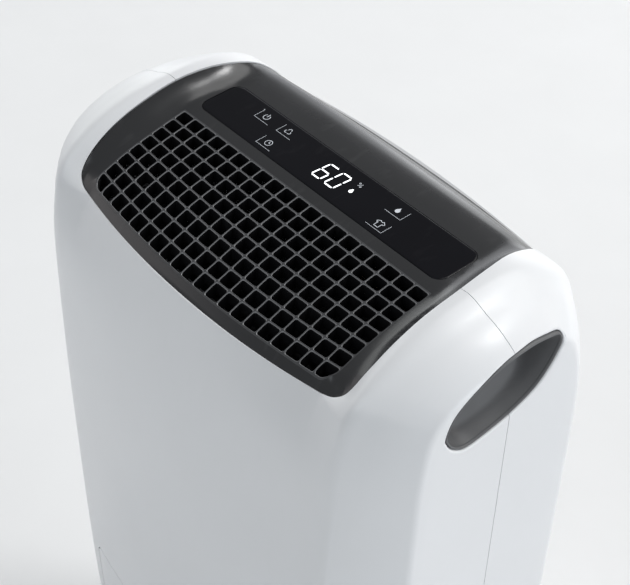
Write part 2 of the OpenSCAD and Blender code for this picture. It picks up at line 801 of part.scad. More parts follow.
module discharge_pipe() {
  r = 6;
  big = 12;
  x = comp_x + 20;
  z = pass_z(passes - 1) - big;
  end = coil_half + 6;
  color(copper) translate([0, cond_y + coil_depth / 2, 0]) {
    bend(x + r, rise_z - r, r, 90);
    tube_across(x + r, rise_z, rise_x - x - 2 * r);
    bend(rise_x - r, rise_z + r, r, 270);
    tube_up(rise_x, rise_z + r, z - rise_z - r);
    bend(rise_x - big, z, big, 0);
    tube_across(end, z + big, rise_x - big - end);
  }
}

// ---------- fan ----------

function scroll_r(a) = wheel_r + 7 + 24 * (35 - a) / 215;

module scroll_outline(g = 0) {
  up = duct_top - fan_z;
  offset(delta = g) polygon(concat([for (a = [35 : -5 : -180]) scroll_r(a) * [cos(a), sin(a)]],
    [[-scroll_r(-180), up], [scroll_r(-180), up]]));
}

module along_y(y0) {
  translate([0, y0, fan_z]) rotate([90, 0, 0]) mirror([0, 0, 1]) children();
}

module fan_housing() {
  depth = housing_y1 - housing_y0;
  color("#4a4d52") difference() {
    along_y(housing_y0) linear_extrude(depth) scroll_outline(2);
    along_y(housing_y0 + 2) linear_extrude(depth - 4) union() {
      scroll_outline();
      translate([-scroll_r(-180), 60]) square([2 * scroll_r(-180), 100]);
    }
    along_y(housing_y1 - 5) cylinder(10, r = 54, $fn = 96);
    along_y(housing_y0 - 5) cylinder(10, r = motor_r + 5, $fn = 96);
  }
}

module blower_wheel() {
  color("#e8eaec") {
    along_y(wheel_y0) difference() {
      cylinder(2, r = wheel_r, $fn = 96);
      translate([0, 0, -1]) cylinder(4, r = motor_r + 3.5, $fn = 72);
    }
    along_y(wheel_y0) difference() {
      cylinder(28, r = motor_r + 5, $fn = 72);
      translate([0, 0, -1]) cylinder(27, r = motor_r + 3, $fn = 72);
      translate([0, 0, 20]) cylinder(10, r = shaft_r, $fn = 32);
    }
    along_y(wheel_y0 + wheel_len - 2) difference() {
      cylinder(2, r = wheel_r, $fn = 96);
      translate([0, 0, -1]) cylinder(4, r = wheel_r - 12, $fn = 96);
    }
    for (i = [0 : blades - 1]) along_y(wheel_y0 + 1) rotate([0, 0, i * 360 / blades])
      translate([wheel_r - 7, 0, 0]) rotate([0, 0, 28]) translate([-5, -0.6, 0])
        cube([10, 1.2, wheel_len - 2]);
  }
}

module motor_shaft() {
  color("#b9bcbf") along_y(-94) cylinder(64, r = shaft_r, $fn = 40);
}

module fan_motor() {
  color("#7d8084") along_y(-94) difference() {
    union() {
      cylinder(52, r = motor_r, $fn = 96);
      cylinder(55, r = 11, $fn = 48);
    }
    translate([0, 0, -1]) cylinder(60, r = shaft_r + 0.06, $fn = 40);
  }
}

module motor_bracket() {
  color("#a6aaad") difference() {
    union() {
      along_y(-78) difference() {
        cylinder(5.9, r = motor_r + 4, $fn = 96);
        translate([0, 0, -1]) cylinder(10, r = motor_r + 0.05, $fn = 96);
      }
      for (a = [30, 150, 270]) along_y(-76) rotate([0, 0, a]) translate([motor_r + 3, -5, 0])
        cube([26, 10, 3.9]);
    }
    for (a = [30, 150, 270]) along_y(-80) rotate([0, 0, a]) translate([motor_r + 24, 0, 0])
      cylinder(12, r = 1.7, $fn = 24);
  }
}

// ---------- electrics ----------

module electronics_box() {
  color("#d6d9dc") for (x = [-110, -36]) translate([x, 24, base_floor + 0.1]) cube([4, 14, 54]);
  color("#d6d9dc") translate([-112, 6, 62]) difference() {
    cube([82, 50, 84]);
    translate([2, 2, 2]) cube([78, 46, 80]);
    for (i = [0 : 6]) translate([12 + i * 9, 25, 70]) cube([4, 30, 20]);
  }
  color("#2f5a3a") translate([-108, 12, 68]) cube([74, 1.6, 70]);
}

module run_capacitor() {
  color("#dfe1e3") translate([-8, 38, base_floor + 0.1]) cylinder(62, r = 15, $fn = 64);
  color("#1a1b1d") for (x = [-13, -3]) translate([x - 2, 37, 70]) cube([4, 1.2, 8]);
}

module humidity_sensor() {
  color("#dfe1e3") translate([-118, 58, 300]) difference() {
    cube([10, 14, 26]);
    for (i = [0 : 3]) translate([-1, 7, 4 + i * 5]) cube([12, 20, 2.4]);
  }
}

module cord_gland() {
  color("#26272a") translate([gland_x, 0, gland_z]) rotate([-90, 0, 0]) difference() {
    union() {
      translate([0, 0, 76]) cylinder(16, r = cord_hole_r + 2.4, $fn = 48);
      translate([0, 0, 83.6]) cylinder(3, r = cord_hole_r + 5.5, $fn = 48);
    }
    translate([0, 0, 70]) cylinder(30, r = cord_hole_r, $fn = 48);
  }
}

front_shell();
rear_shell();
top_panel();
outlet_grille();
control_glass();
display_board();
grip_left();
grip_right();
base_tray();
rubber_feet();
chassis_wall();
water_tank();
tank_front();
tank_window();
tank_lid();
tank_handle();
tank_float();
intake_grille();
air_filter();
filter_mesh();
grille_screws();
evaporator_fins();
evaporator_tube();
condenser_fins();
condenser_tube();
coil_plates();
drip_tray();
drain_hose();
drain_spigot();
drain_cap();
compressor();
accumulator();
terminal_cover();
grommets();
mounting_studs();
stud_nuts();
suction_pipe();
discharge_pipe();
fan_housing();
blower_wheel();
motor_shaft();
fan_motor();
motor_bracket();
electronics_box();
run_capacitor();
humidity_sensor();
float_sensor();
cord_gland();
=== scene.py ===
"""Looks of the compact dehumidifier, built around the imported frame.

Lengths of the object are in millimetres in the frame's own axes (front -Y, top +Z) until a mesh
is made. Camera, lights and floor are in metres.
"""

import math
from contextlib import contextmanager

import bmesh
import bpy
import numpy as np
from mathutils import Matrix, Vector
from mathutils.bvhtree import BVHTree
from mathutils.geometry import delaunay_2d_cdt


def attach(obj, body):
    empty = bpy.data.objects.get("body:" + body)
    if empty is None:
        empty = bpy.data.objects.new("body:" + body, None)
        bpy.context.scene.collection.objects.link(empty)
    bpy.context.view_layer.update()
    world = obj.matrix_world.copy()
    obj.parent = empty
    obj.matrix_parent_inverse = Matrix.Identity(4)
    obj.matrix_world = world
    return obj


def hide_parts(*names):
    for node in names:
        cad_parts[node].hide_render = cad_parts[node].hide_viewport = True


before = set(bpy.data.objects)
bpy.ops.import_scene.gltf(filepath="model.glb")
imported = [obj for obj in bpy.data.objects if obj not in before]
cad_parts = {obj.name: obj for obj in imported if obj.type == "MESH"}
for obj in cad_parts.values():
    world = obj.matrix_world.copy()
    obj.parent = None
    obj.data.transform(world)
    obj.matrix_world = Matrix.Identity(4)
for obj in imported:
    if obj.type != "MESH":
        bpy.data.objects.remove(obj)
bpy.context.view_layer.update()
scene = bpy.context.scene
MM = 0.001
WELD = 0.002                            # points closer than this become one

# ------------------------ camera, light and floor

CAMERA_PLACE = (0.5827, -0.4572, 1.0236)
CAMERA_AZIMUTH = 51.52
CAMERA_ELEVATION = 39.37
CAMERA_LENS = 95.5


def direction(azimuth, elevation):
    """Unit vector from the object towards a viewer at that azimuth and elevation, in degrees."""
    a, e = math.radians(azimuth), math.radians(elevation)
    return Vector((math.sin(a) * math.cos(e), -math.cos(a) * math.cos(e), math.sin(e)))


def make_camera():
    data = bpy.data.cameras.new("camera")
    data.lens = CAMERA_LENS
    data.sensor_width = 36
    data.clip_start, data.clip_end = 0.05, 30
    camera = bpy.data.objects.new("camera", data)
    scene.collection.objects.link(camera)
    camera.location = CAMERA_PLACE
    ahead = -direction(CAMERA_AZIMUTH, CAMERA_ELEVATION)
    camera.rotation_euler = ahead.to_track_quat("-Z", "Y").to_euler()
    scene.camera = camera


# Soft boxes that look at LOOK_AT: azimuth, elevation, width, power in watts, tint
SOFT_BOXES = {
    "rear_top": (185, 60, 3.2, 85.0, (1.0, 0.998, 0.985)),
    "right_low": (110, 8, 3.2, 98.0, (0.90, 0.95, 1.0)),
    "front": (0, 30, 3.2, 41.0, (0.88, 0.96, 1.0)),
    "rear_right_low": (200, 8, 3.2, 48.0, (0.98, 1.0, 1.0)),
    "rear_right": (150, 30, 3.2, 40.0, (1.0, 0.93, 0.85)),
    "rear_low": (231, 8, 3.2, 37.0, (0.94, 0.96, 1.0)),
    "window": (147, 63, 0.9, 52.0, (1.0, 1.0, 1.0)),
    "rear_left_low": (262, 8, 3.2, 34.0, (0.97, 1.0, 0.98)),
    "left_low": (300, 8, 3.2, 25.0, (1.0, 0.94, 0.94)),
}
BOX_DISTANCE = 5.0
LOOK_AT = Vector((0, 0, 0.35))
FLOOR_HALF = 60.0


def soft_light(name, azimuth, elevation, width, power, colour):
    """Square soft box, unseen by the camera itself."""
    data = bpy.data.lights.new(name, "AREA")
    data.size = width
    data.energy = power
    data.color = colour
    lamp = bpy.data.objects.new(name, data)
    scene.collection.objects.link(lamp)
    back = direction(azimuth, elevation)
    lamp.location = LOOK_AT + back * BOX_DISTANCE
    lamp.rotation_euler = (-back).to_track_quat("-Z", "Y").to_euler()
    lamp.visible_camera = False


def make_stage():
    scene.view_settings.view_transform = "Standard"
    world = bpy.data.worlds.new("studio")
    scene.world = world
    world.use_nodes = True
    sky = world.node_tree.nodes["Background"]
    sky.inputs["Color"].default_value = (0.95, 0.97, 1.0, 1)
    sky.inputs["Strength"].default_value = 0.28
    for name, box in SOFT_BOXES.items():
        soft_light(name, *box)
    mesh = bpy.data.meshes.new("floor")
    corners = [(x * FLOOR_HALF, y * FLOOR_HALF, 0) for x, y in ((-1, -1), (1, -1), (1, 1), (-1, 1))]
    mesh.from_pydata(corners, [], [(0, 1, 2, 3)])
    floor = bpy.data.objects.new("floor", mesh)
    scene.collection.objects.link(floor)
    mesh.materials.append(finish("floor_paint", (0.825, 0.83, 0.835), 0.6, vary=0.01, depth=0.0, wear=0.0))


# ------------------------ finishes


class Graph:
    """Small helper that adds and links shader nodes of one material."""

    def __init__(self, name):
        self.material = bpy.data.materials.new(name)
        self.material.use_nodes = True
        self.tree = self.material.node_tree
        self.shader = self.tree.nodes["Principled BSDF"]
        self.coords = self.tree.nodes.new("ShaderNodeTexCoord").outputs["Object"]

    def feed(self, node, **inputs):
        """Sets inputs of a node by name, with _ for a space, or links them to another node's output."""
        for name, value in inputs.items():
            self.put(node.inputs[name.replace("_", " ")], value)
        return node

    def put(self, socket, value):
        if isinstance(value, bpy.types.NodeSocket):
            self.tree.links.new(value, socket)
        else:
            socket.default_value = value

    def node(self, kind, **inputs):
        return self.feed(self.tree.nodes.new("ShaderNode" + kind), **inputs)

    def surface(self, **inputs):
        """Feeds the material's own shader."""
        self.feed(self.shader, **inputs)

    def stretched(self, scale):
        return self.node("Mapping", Vector=self.coords, Scale=scale).outputs["Vector"]

    def noise(self, scale, detail=2.0, coords=None):
        node = self.node("TexNoise", Vector=coords or self.coords, Scale=scale, Detail=detail)
        return node.outputs["Fac"]

    def wave(self, scale, axis):
        node = self.node("TexWave", Vector=self.coords, Scale=scale)
        node.bands_direction = axis
        return node.outputs["Fac"]

    def span(self, value, a, b, to_a, to_b):
        """value from a..b spread over to_a..to_b."""
        node = self.node("MapRange", Value=value, From_Min=a, From_Max=b, To_Min=to_a, To_Max=to_b)
        return node.outputs["Result"]

    def maths(self, operation, a, b):
        node = self.node("Math")
        node.operation = operation
        for socket, value in zip(node.inputs, (a, b)):
            self.put(socket, value)
        return node.outputs["Value"]

    def mix(self, factor, a, b):
        """Colour between a and b, each an (r, g, b) or another node's output."""
        node = self.node("Mix", Factor=factor)
        node.data_type = "RGBA"
        for socket, value in ((node.inputs[6], a), (node.inputs[7], b)):
            self.put(socket, (*value, 1) if isinstance(value, tuple) else value)
        return node.outputs[2]

    def bump(self, height, depth_mm):
        node = self.node("Bump", Height=height, Distance=depth_mm * MM)
        self.surface(Normal=node.outputs["Normal"])


def shade(colour, factor):
    return tuple(min(c * factor, 1.0) for c in colour)


def finish(name, colour, rough, vary=0.05, grain=1100.0, depth=0.02, wear=0.15, **sockets):
    """Painted or moulded surface: cloudy colour, fine grain, faint scuffs that are rougher."""
    g = Graph(name)
    cloud = g.span(g.noise(11.0, 4.0), 0.3, 0.7, 0, 1)
    base = g.mix(cloud, shade(colour, 1 - vary), shade(colour, 1 + vary))
    scuffs = g.span(g.noise(170.0, 5.0, g.stretched((1, 0.35, 0.22))), 0.6, 0.82, 0, wear)
    worn = tuple(c + (0.9 - c) * 0.25 if sum(colour) < 1.5 else c * 0.82 for c in colour)
    patches = g.span(g.noise(38.0, 3.0), 0.3, 0.7, rough * 0.9, rough * 1.1)
    g.surface(Base_Color=g.mix(scuffs, base, worn),
              Roughness=g.maths("ADD", patches, g.maths("MULTIPLY", scuffs, 0.35)), **sockets)
    if depth:
        g.bump(g.noise(grain, 2.0), depth)
    return g.material


def brushed(name, colour, rough, axis_scale):
    """Metal with fine drawn lines along one axis."""
    g = Graph(name)
    lines = g.noise(420.0, 3.0, g.stretched(axis_scale))
    g.surface(Base_Color=g.mix(g.span(lines, 0.3, 0.7, 0, 1), shade(colour, 0.8), shade(colour, 1.1)),
              Roughness=g.span(g.noise(45.0, 3.0), 0.3, 0.7, rough * 0.8, rough * 1.3), Metallic=1.0)
    g.bump(lines, 0.03)
    return g.material


def frosted(name, colour, rough, transmission):
    """Translucent moulded plastic with a slightly cloudy body."""
    g = Graph(name)
    g.surface(Base_Color=g.mix(g.noise(16.0, 3.0), shade(colour, 0.94), colour),
              Roughness=g.span(g.noise(60.0, 2.0), 0.3, 0.7, rough * 0.8, rough * 1.2),
              Transmission_Weight=transmission, IOR=1.45)
    g.bump(g.noise(90.0, 2.0), 0.004)
    return g.material


def net(name, colour):
    """Woven filter net: fine crossed threads in colour and relief."""
    g = Graph(name)
    threads = g.maths("MAXIMUM", g.wave(320.0, "X"), g.wave(320.0, "Z"))
    g.surface(Base_Color=g.mix(g.span(threads, 0.4, 0.9, 0, 1), shade(colour, 0.35), colour),
              Roughness=g.span(g.noise(50.0), 0.3, 0.7, 0.6, 0.8))
    g.bump(threads, 0.15)
    return g.material


def glow(name, colour, strength):
    """Lit display mark: slightly uneven diffuser in front of its lamp."""
    g = Graph(name)
    lit = g.mix(g.noise(900.0, 1.0), shade(colour, 0.9), colour)
    g.surface(Base_Color=lit, Emission_Color=lit, Emission_Strength=strength,
              Roughness=g.span(g.noise(300.0), 0, 1, 0.35, 0.5))
    g.bump(g.noise(900.0, 1.0), 0.01)
    return g.material


WHITE = (0.79, 0.80, 0.815)
DARK = (0.026, 0.0265, 0.028)


def make_finishes():
    return {
        "shell": finish("white_gloss", WHITE, 0.34, vary=0.012, grain=1500, depth=0.006, wear=0.05,
                        Coat_Weight=0.12, Coat_Roughness=0.15),
        "grille_white": finish("white_satin", WHITE, 0.42, vary=0.02, depth=0.012, wear=0.08),
        "panel": finish("dark_panel", DARK, 0.21, vary=0.05, grain=1900, depth=0.004, wear=0.06),
        "lattice": finish("dark_lattice", (0.045, 0.046, 0.049), 0.38, vary=0.06, grain=1900, depth=0.010,
                          wear=0.08),
        # lighter chamfer round each air cell of the dark lattice: painted highlight along the cell edges
        "painted_highlight_chamfer": finish("lattice_chamfer_painted_highlight", (0.17, 0.172, 0.178), 0.33, vary=0.06, grain=1900, depth=0.010,
                          wear=0.08),
        # near-black deep walls of the air cells, the same plastic as the ribs: painted shade inside the cells
        "lattice_wall_painted_shade": finish("lattice_wall_painted_shade", (0.006, 0.006, 0.007), 0.5, vary=0.1, depth=0.02, wear=0.05,
                               Specular_IOR_Level=0.2),
        "glass": finish("black_glass", (0.006, 0.006, 0.008), 0.12, vary=0.2, grain=2500, depth=0.001,
                        wear=0.02, Specular_IOR_Level=0.12, Coat_Weight=0.05, Coat_Roughness=0.05),
        "digits": glow("lit_digits", (0.95, 0.98, 1.0), 1.6),
        "icons": glow("lit_icons", (0.55, 0.58, 0.62), 0.28),
        "grip": finish("grip_plastic", (0.115, 0.117, 0.121), 0.5, vary=0.05, depth=0.02, wear=0.10),
        "grey": finish("grey_plastic", (0.17, 0.175, 0.185), 0.5, vary=0.05, depth=0.03, wear=0.15),
        "light": finish("light_plastic", (0.62, 0.64, 0.66), 0.45, vary=0.04, depth=0.02, wear=0.12),
        "white": finish("white_plastic", (0.78, 0.79, 0.80), 0.42, vary=0.03, depth=0.02, wear=0.10),
        "tank": frosted("tank_plastic", (0.86, 0.92, 0.96), 0.28, 0.72),
        "window": frosted("smoked_window", (0.22, 0.27, 0.30), 0.14, 0.55),
        "rubber": finish("black_rubber", (0.022, 0.022, 0.024), 0.72, vary=0.12, grain=700, depth=0.05,
                         wear=0.2),
        "black": finish("black_plastic", (0.030, 0.031, 0.034), 0.5, vary=0.08, depth=0.03, wear=0.15),
        "net": net("filter_net", (0.42, 0.45, 0.47)),
        "fins": brushed("fin_aluminium", (0.80, 0.82, 0.84), 0.36, (0.2, 6, 0.15)),
        "copper": brushed("copper_tube", (0.78, 0.42, 0.26), 0.28, (0.15, 1, 1)),
        "steel": brushed("steel_plate", (0.62, 0.63, 0.64), 0.34, (0.1, 1, 1)),
        "motor": brushed("motor_metal", (0.45, 0.46, 0.48), 0.4, (1, 0.1, 1)),
        "enamel": finish("black_enamel", (0.018, 0.019, 0.021), 0.30, vary=0.15, grain=260, depth=0.06,
                         wear=0.1, Coat_Weight=0.4, Coat_Roughness=0.2),
        "board": finish("board_green", (0.03, 0.14, 0.06), 0.45, vary=0.2, depth=0.02, wear=0.1),
    }


# ------------------------ mesh helpers


def new_piece(name, points, faces, material, extra_materials=()):
    """Object from points in millimetres."""
    mesh = bpy.data.meshes.new(name)
    mesh.from_pydata([Vector(p) * MM for p in points], [], faces)
    obj = bpy.data.objects.new(name, mesh)
    scene.collection.objects.link(obj)
    for m in (material, *extra_materials):
        mesh.materials.append(m)
    return obj


@contextmanager
def editing(obj):
    """Bmesh of obj, written back at the end of the block."""
    b = bmesh.new()
    b.from_mesh(obj.data)
    yield b
    b.to_mesh(obj.data)
    b.free()


def tidy(obj, sharp=38.0):
    """Welds doubled points, turns the faces outward and shades smooth with sharp edges above an angle."""
    with editing(obj) as b:
        bmesh.ops.remove_doubles(b, verts=b.verts, dist=WELD * MM)
        bmesh.ops.dissolve_degenerate(b, edges=b.edges, dist=WELD * MM)
        bmesh.ops.recalc_face_normals(b, faces=b.faces)
        if all(e.is_manifold for e in b.edges) and b.calc_volume(signed=True) < 0:
            bmesh.ops.reverse_faces(b, faces=b.faces)
        for f in b.faces:
            f.smooth = True
        for e in b.edges:
            e.smooth = len(e.link_faces) == 2 and e.calc_face_angle(0) < math.radians(sharp)
    obj.data.update()


def prune(obj):
    """Drops points that no face uses."""
    with editing(obj) as b:
        bmesh.ops.delete(b, geom=[v for v in b.verts if not v.link_faces], context="VERTS")


def face_out(obj, side=1):
    """Turns an open skin so that the face furthest to that side looks that way."""
    last = max(obj.data.polygons, key=lambda p: p.center.x * side)
    if last.normal.x * side < 0:
        obj.data.flip_normals()


def bake_modifiers(obj):
    """Applies every modifier of obj."""
    bpy.context.view_layer.update()
    made = bpy.data.meshes.new_from_object(obj.evaluated_get(bpy.context.evaluated_depsgraph_get()))
    obj.modifiers.clear()
    obj.data = made


def combine(obj, operation, *tools):
    """Boolean of obj with each tool in turn; the tools are deleted."""
    for tool in tools:
        m = obj.modifiers.new("boolean", "BOOLEAN")
        m.operation = operation
        m.solver = "MANIFOLD"
        m.object = tool
    bake_modifiers(obj)
    for tool in tools:
        bpy.data.objects.remove(tool)


def thicken(obj, wall_mm):
    """Gives an open skin a wall behind it."""
    m = obj.modifiers.new("wall", "SOLIDIFY")
    m.thickness = wall_mm * MM
    m.offset = -1
    bake_modifiers(obj)


def round_edges(obj, width_mm, segments, angle=None):
    """Bevels the edges sharper than angle in degrees; without one, those that carry a bevel weight."""
    m = obj.modifiers.new("edges", "BEVEL")
    m.width = width_mm * MM
    m.segments = segments
    if angle:
        m.limit_method = "ANGLE"
        m.angle_limit = math.radians(angle)
    else:
        m.limit_method = "WEIGHT"
    bake_modifiers(obj)


def loft(name, rings, material):
    """Closed skin over rings that all have the same number of points."""
    n = len(rings[0])
    last = (len(rings) - 1) * n
    faces = []
    for r in range(0, last, n):
        for i in range(n):
            j = (i + 1) % n
            faces.append((r + i, r + j, r + n + j, r + n + i))
    faces += [tuple(reversed(range(n))), tuple(range(last, last + n))]
    return new_piece(name, [p for ring in rings for p in ring], faces, material)


def rounded_rect(width, height, radius, steps, centre=(0.0, 0.0)):
    """Outline of a rectangle with round corners, counter-clockwise."""
    out = []
    for sx, sy, start in ((1, -1, -90), (1, 1, 0), (-1, 1, 90), (-1, -1, 180)):
        cx = centre[0] + sx * (width / 2 - radius)
        cy = centre[1] + sy * (height / 2 - radius)
        for k in range(steps + 1):
            a = math.radians(start + 90 * k / steps)
            out.append((cx + radius * math.cos(a), cy + radius * math.sin(a)))
    return out


def offset_outline(outline, distance):
    """Closed counter-clockwise outline moved outward by distance along its corner normals."""
    out = []
    n = len(outline)
    for i, (x, y) in enumerate(outline):
        ax, ay = outline[i - 1]
        bx, by = outline[(i + 1) % n]
        tx, ty = bx - ax, by - ay
        length = math.hypot(tx, ty) or 1.0
        out.append((x + ty / length * distance, y - tx / length * distance))
    return out


def smooth_curve(points, knots):
    """Function of t through points at the given knots, a cubic with central slopes."""
    pts = [Vector(p) for p in points]
    last = len(pts) - 1
    slopes = []
    for i in range(last + 1):
        a, b = max(i - 1, 0), min(i + 1, last)
        slopes.append((pts[b] - pts[a]) / (knots[b] - knots[a]))

    def at(t):
        i = next((k - 1 for k in range(1, last) if t <= knots[k]), last - 1)
        h = knots[i + 1] - knots[i]
        u = (t - knots[i]) / h
        return ((2 * u ** 3 - 3 * u ** 2 + 1) * pts[i] + (u ** 3 - 2 * u ** 2 + u) * h * slopes[i]
                + (3 * u ** 2 - 2 * u ** 3) * pts[i + 1] + (u ** 3 - u ** 2) * h * slopes[i + 1])

    return at


def chord_knots(points):
    knots = [0.0]
    for a, b in zip(points, points[1:]):
        knots.append(knots[-1] + (Vector(b) - Vector(a)).length)
    return knots


# ------------------------ casing surface

WALL = 2.6
SEAM_GAP = 0.18                         # from the seam plane to either shell
RIM_ROUND = 1.1
MIDDLE_POINTS = 14                      # points from the middle plane out to the inner end of a row
BORDER_ARM = 3.4                        # reach of the border crease to either side
BAND_SWELL = 1.1                        # swell of the band between the two creases
CREASE_IN = 33.0                        # from the side face in to the corner crease
PANEL_R_X = 106.0                       # half width where the opening's front edge turns its corner
# Stations up the front, over the top and down the back. Corner crease and border of the flat
# side as (y, z); the station in the middle of the list is the seam between the two shells.
CORNER = [(-88, 10), (-93.5, 150), (-92.5, 300), (-90.3, 376), (-88.2, 425), (-83.2, 454), (-80.4, 462),
          (-75.8, 469.3), (-64, 478.5), (-47, 487.3), (-25.5, 494), (0, 497.8), (20.5, 499), (38.5, 497.3),
          (54.5, 491.5), (65.5, 482.5), (71.5, 471.5), (77.5, 449), (81, 411), (80.5, 370), (79, 280),
          (77, 150), (74, 10)]
BORDER = [(-57, 10), (-60, 150), (-60.5, 300), (-59.5, 376), (-58.4, 425), (-55, 450), (-53, 456),
          (-50, 461.5), (-42, 469), (-29.5, 475.5), (-14.5, 480), (0, 482), (14, 481.2), (27, 479.0),
          (37.5, 473.8), (43.2, 466), (47, 456), (50.3, 440), (52, 407), (52, 370), (51.5, 280),
          (50, 150), (48, 10)]
MIDDLE_FRONT = [(-101, 10), (-107.2, 150), (-105, 300), (-99.5, 380), (-92, 426), (-84.5, 456)]
MIDDLE_REAR = [(78, 477), (86, 450), (91, 410), (92, 370), (92, 280), (90, 150), (86, 10)]
# Edge of the opening for the dark panel as (x, y, z), from its front corner to its rear corner
RIM = [(106, -75.2, 457.8), (115, -73.8, 460.5), (120.8, -70.2, 465.2), (123.3, -60, 475), (124, -44, 485),
       (124, -24, 492.7), (124, 0, 498.1), (121.8, 21, 499.6), (118.8, 38, 498), (117, 53.5, 492.8),
       (114, 64, 485.2), (106, 72, 475.5)]
SEAM = 11                               # station of the seam
LIP_FRONT = 5                           # station of the opening's front edge
LIP_REAR = 16                           # station of its rear edge


def side_half(z):
    """Half width of the flat side face at height z; it leans outward by 22 in 460."""
    return 144 + 22 * z / 460


def stations():
    """Per station: middle point or None, rim, bulge control point, corner crease and side border."""
    rows = []
    for i, ((ay, az), (by, bz)) in enumerate(zip(CORNER, BORDER)):
        corner = Vector((side_half(az) - CREASE_IN, ay, az))
        border = Vector((side_half(bz), by, bz))
        middle = None
        if i <= LIP_FRONT:
            middle = Vector((0, *MIDDLE_FRONT[i]))
        elif i >= LIP_REAR:
            middle = Vector((0, *MIDDLE_REAR[i - LIP_REAR]))
        if LIP_FRONT <= i <= LIP_REAR:
            rim = Vector(RIM[i - LIP_FRONT])
            out = Vector((0.5, 0.25 * ay / 80, 1)).normalized()
            control = (rim + corner) / 2 + out * 1.1
        else:
            f = PANEL_R_X / corner.x
            depth = Vector((0, corner.y - middle.y, corner.z - middle.z))
            rim = Vector((PANEL_R_X, middle.y, middle.z)) + depth * f * f
            control = Vector(((PANEL_R_X + corner.x) / 2, middle.y, middle.z)) + depth * f
        rows.append((middle, rim, control, corner, border))
    return rows


STATIONS = stations()
KNOTS = chord_knots([row[3] for row in STATIONS])
CURVES = [smooth_curve([row[k] for row in STATIONS], KNOTS) for k in (1, 2, 3, 4)]
RIM_CURVE = smooth_curve(RIM, KNOTS[LIP_FRONT:LIP_REAR + 1])
FRONT_MIDDLE = smooth_curve([row[0] for row in STATIONS[:LIP_FRONT + 1]], KNOTS[:LIP_FRONT + 1])
REAR_MIDDLE = smooth_curve([row[0] for row in STATIONS[LIP_REAR:]], KNOTS[LIP_REAR:])


def rim_point(t):
    """Inner end of a row: the opening's edge on the crown, a line down the panel elsewhere."""
    return RIM_CURVE(t) if KNOTS[LIP_FRONT] <= t <= KNOTS[LIP_REAR] else CURVES[0](t)


def bezier(a, b, c, u):
    return (1 - u) ** 2 * a + 2 * u * (1 - u) * b + u * u * c


def seam_height(t, level):
    """Height where a row meets the seam: its own level low down, evenly spaced on the crown."""
    low = LIP_FRONT if t < KNOTS[SEAM] else LIP_REAR
    share = (t - KNOTS[low]) / (KNOTS[SEAM] - KNOTS[low])
    if share <= 0:
        return level
    return BORDER[low][1] - 1.5 + share * (BORDER[SEAM][1] - 2.4 - BORDER[low][1])


def casing_row(t, y_end):
    """Points from the rim, over both creases, to the seam plane at y = y_end, at curve parameter t."""
    rim = rim_point(t)
    control, corner, border = (c(t) for c in CURVES[1:])
    ahead = (CURVES[3](min(t + 1, KNOTS[-1])) - CURVES[3](max(t - 1, 0))).normalized()
    inward = Vector((0, ahead.z, -ahead.y)).normalized()
    low, high = (LIP_REAR + 2, LIP_REAR) if t > KNOTS[SEAM] else (LIP_FRONT - 2, LIP_FRONT)
    crown = max(0.0, min(1.0, (t - KNOTS[low]) / (KNOTS[high] - KNOTS[low])))
    near = (corner - rim).length
    band = (border - corner).length
    arm_in = min(14 - 9.5 * crown, 0.46 * near)
    arm_out = 3.0 + 6.0 * crown
    p1 = bezier(rim, control, corner, 1 - arm_in / near)
    p2 = corner + (border - corner) * arm_out / band
    across = (border - corner).normalized()
    p3 = border - across * BORDER_ARM
    p4 = border + inward * BORDER_ARM
    p4.y = min(p4.y, y_end) if y_end < 0 else max(p4.y, y_end)
    p4.x = side_half(p4.z)
    swell = across.cross(ahead) * 4 * BAND_SWELL
    if swell.x < 0:
        swell = -swell
    end_z = seam_height(t, p4.z)
    end = Vector((side_half(end_z), y_end, end_z))
    row = [bezier(rim, control, corner, u * (1 - arm_in / near) / 6) for u in range(7)]
    row += [bezier(p1, corner, p2, u / 6) for u in range(1, 7)]
    row += [p2 + (p3 - p2) * v + swell * v * (1 - v) for v in (u / 7 for u in range(1, 8))]
    row += [bezier(p3, border, p4, u / 5) for u in range(1, 6)]
    return row + [p4 + (end - p4) * u / 9 for u in range(1, 10)]


def middle_part(t, middle):
    """Points from the middle plane to just before the inner end of the row."""
    rim = rim_point(t)
    start = middle(t)
    shares = [u / MIDDLE_POINTS for u in range(MIDDLE_POINTS)]
    return [Vector((rim.x * u, *(start + (rim - start) * u ** 2).yz)) for u in shares]


def sample_knots(first, last, step=5.5):
    """Curve parameters between two stations that include every station; denser at the opening's corners."""
    out = []
    for i in range(first, last):
        tight = i in (LIP_FRONT, LIP_FRONT + 1, LIP_FRONT + 2, LIP_REAR - 2, LIP_REAR - 1)
        n = max(1, round((KNOTS[i + 1] - KNOTS[i]) / (step * 0.3 if tight else step)))
        out += [KNOTS[i] + (KNOTS[i + 1] - KNOTS[i]) * k / n for k in range(n)]
    return out + [KNOTS[last]]


def half_skin(front):
    """Points and faces of the right half of one shell's outer surface."""
    y_end = -SEAM_GAP if front else SEAM_GAP
    ends = (0, SEAM) if front else (SEAM, len(KNOTS) - 1)
    points, faces, rows = [], [], []
    for t in sample_knots(*ends):
        row = casing_row(t, y_end)
        if t == KNOTS[SEAM]:
            row = [Vector((p.x, y_end, p.z)) for p in row]
        inner = []
        if t <= KNOTS[LIP_FRONT] or t >= KNOTS[LIP_REAR]:
            inner = middle_part(t, FRONT_MIDDLE if front else REAR_MIDDLE)
        start = len(points)
        points += inner + row
        rows.append([None] * (MIDDLE_POINTS - len(inner)) + list(range(start, len(points))))
    for a, b in zip(rows, rows[1:]):
        quads = zip(a, a[1:], b[1:], b)
        faces += [quad for quad in quads if None not in quad]
    return points, faces


def mirrored(points, faces):
    """Both halves as one mesh; doubled points on the middle plane are welded later."""
    n = len(points)
    both = list(points) + [Vector((-p.x, p.y, p.z)) for p in points]
    return both, list(faces) + [tuple(reversed([i + n for i in f])) for f in faces]


def skin_piece(name, front, material):
    """Open skin of one whole shell, looking outward."""
    obj = new_piece(name, *mirrored(*half_skin(front)), material)
    tidy(obj)
    face_out(obj)
    return obj


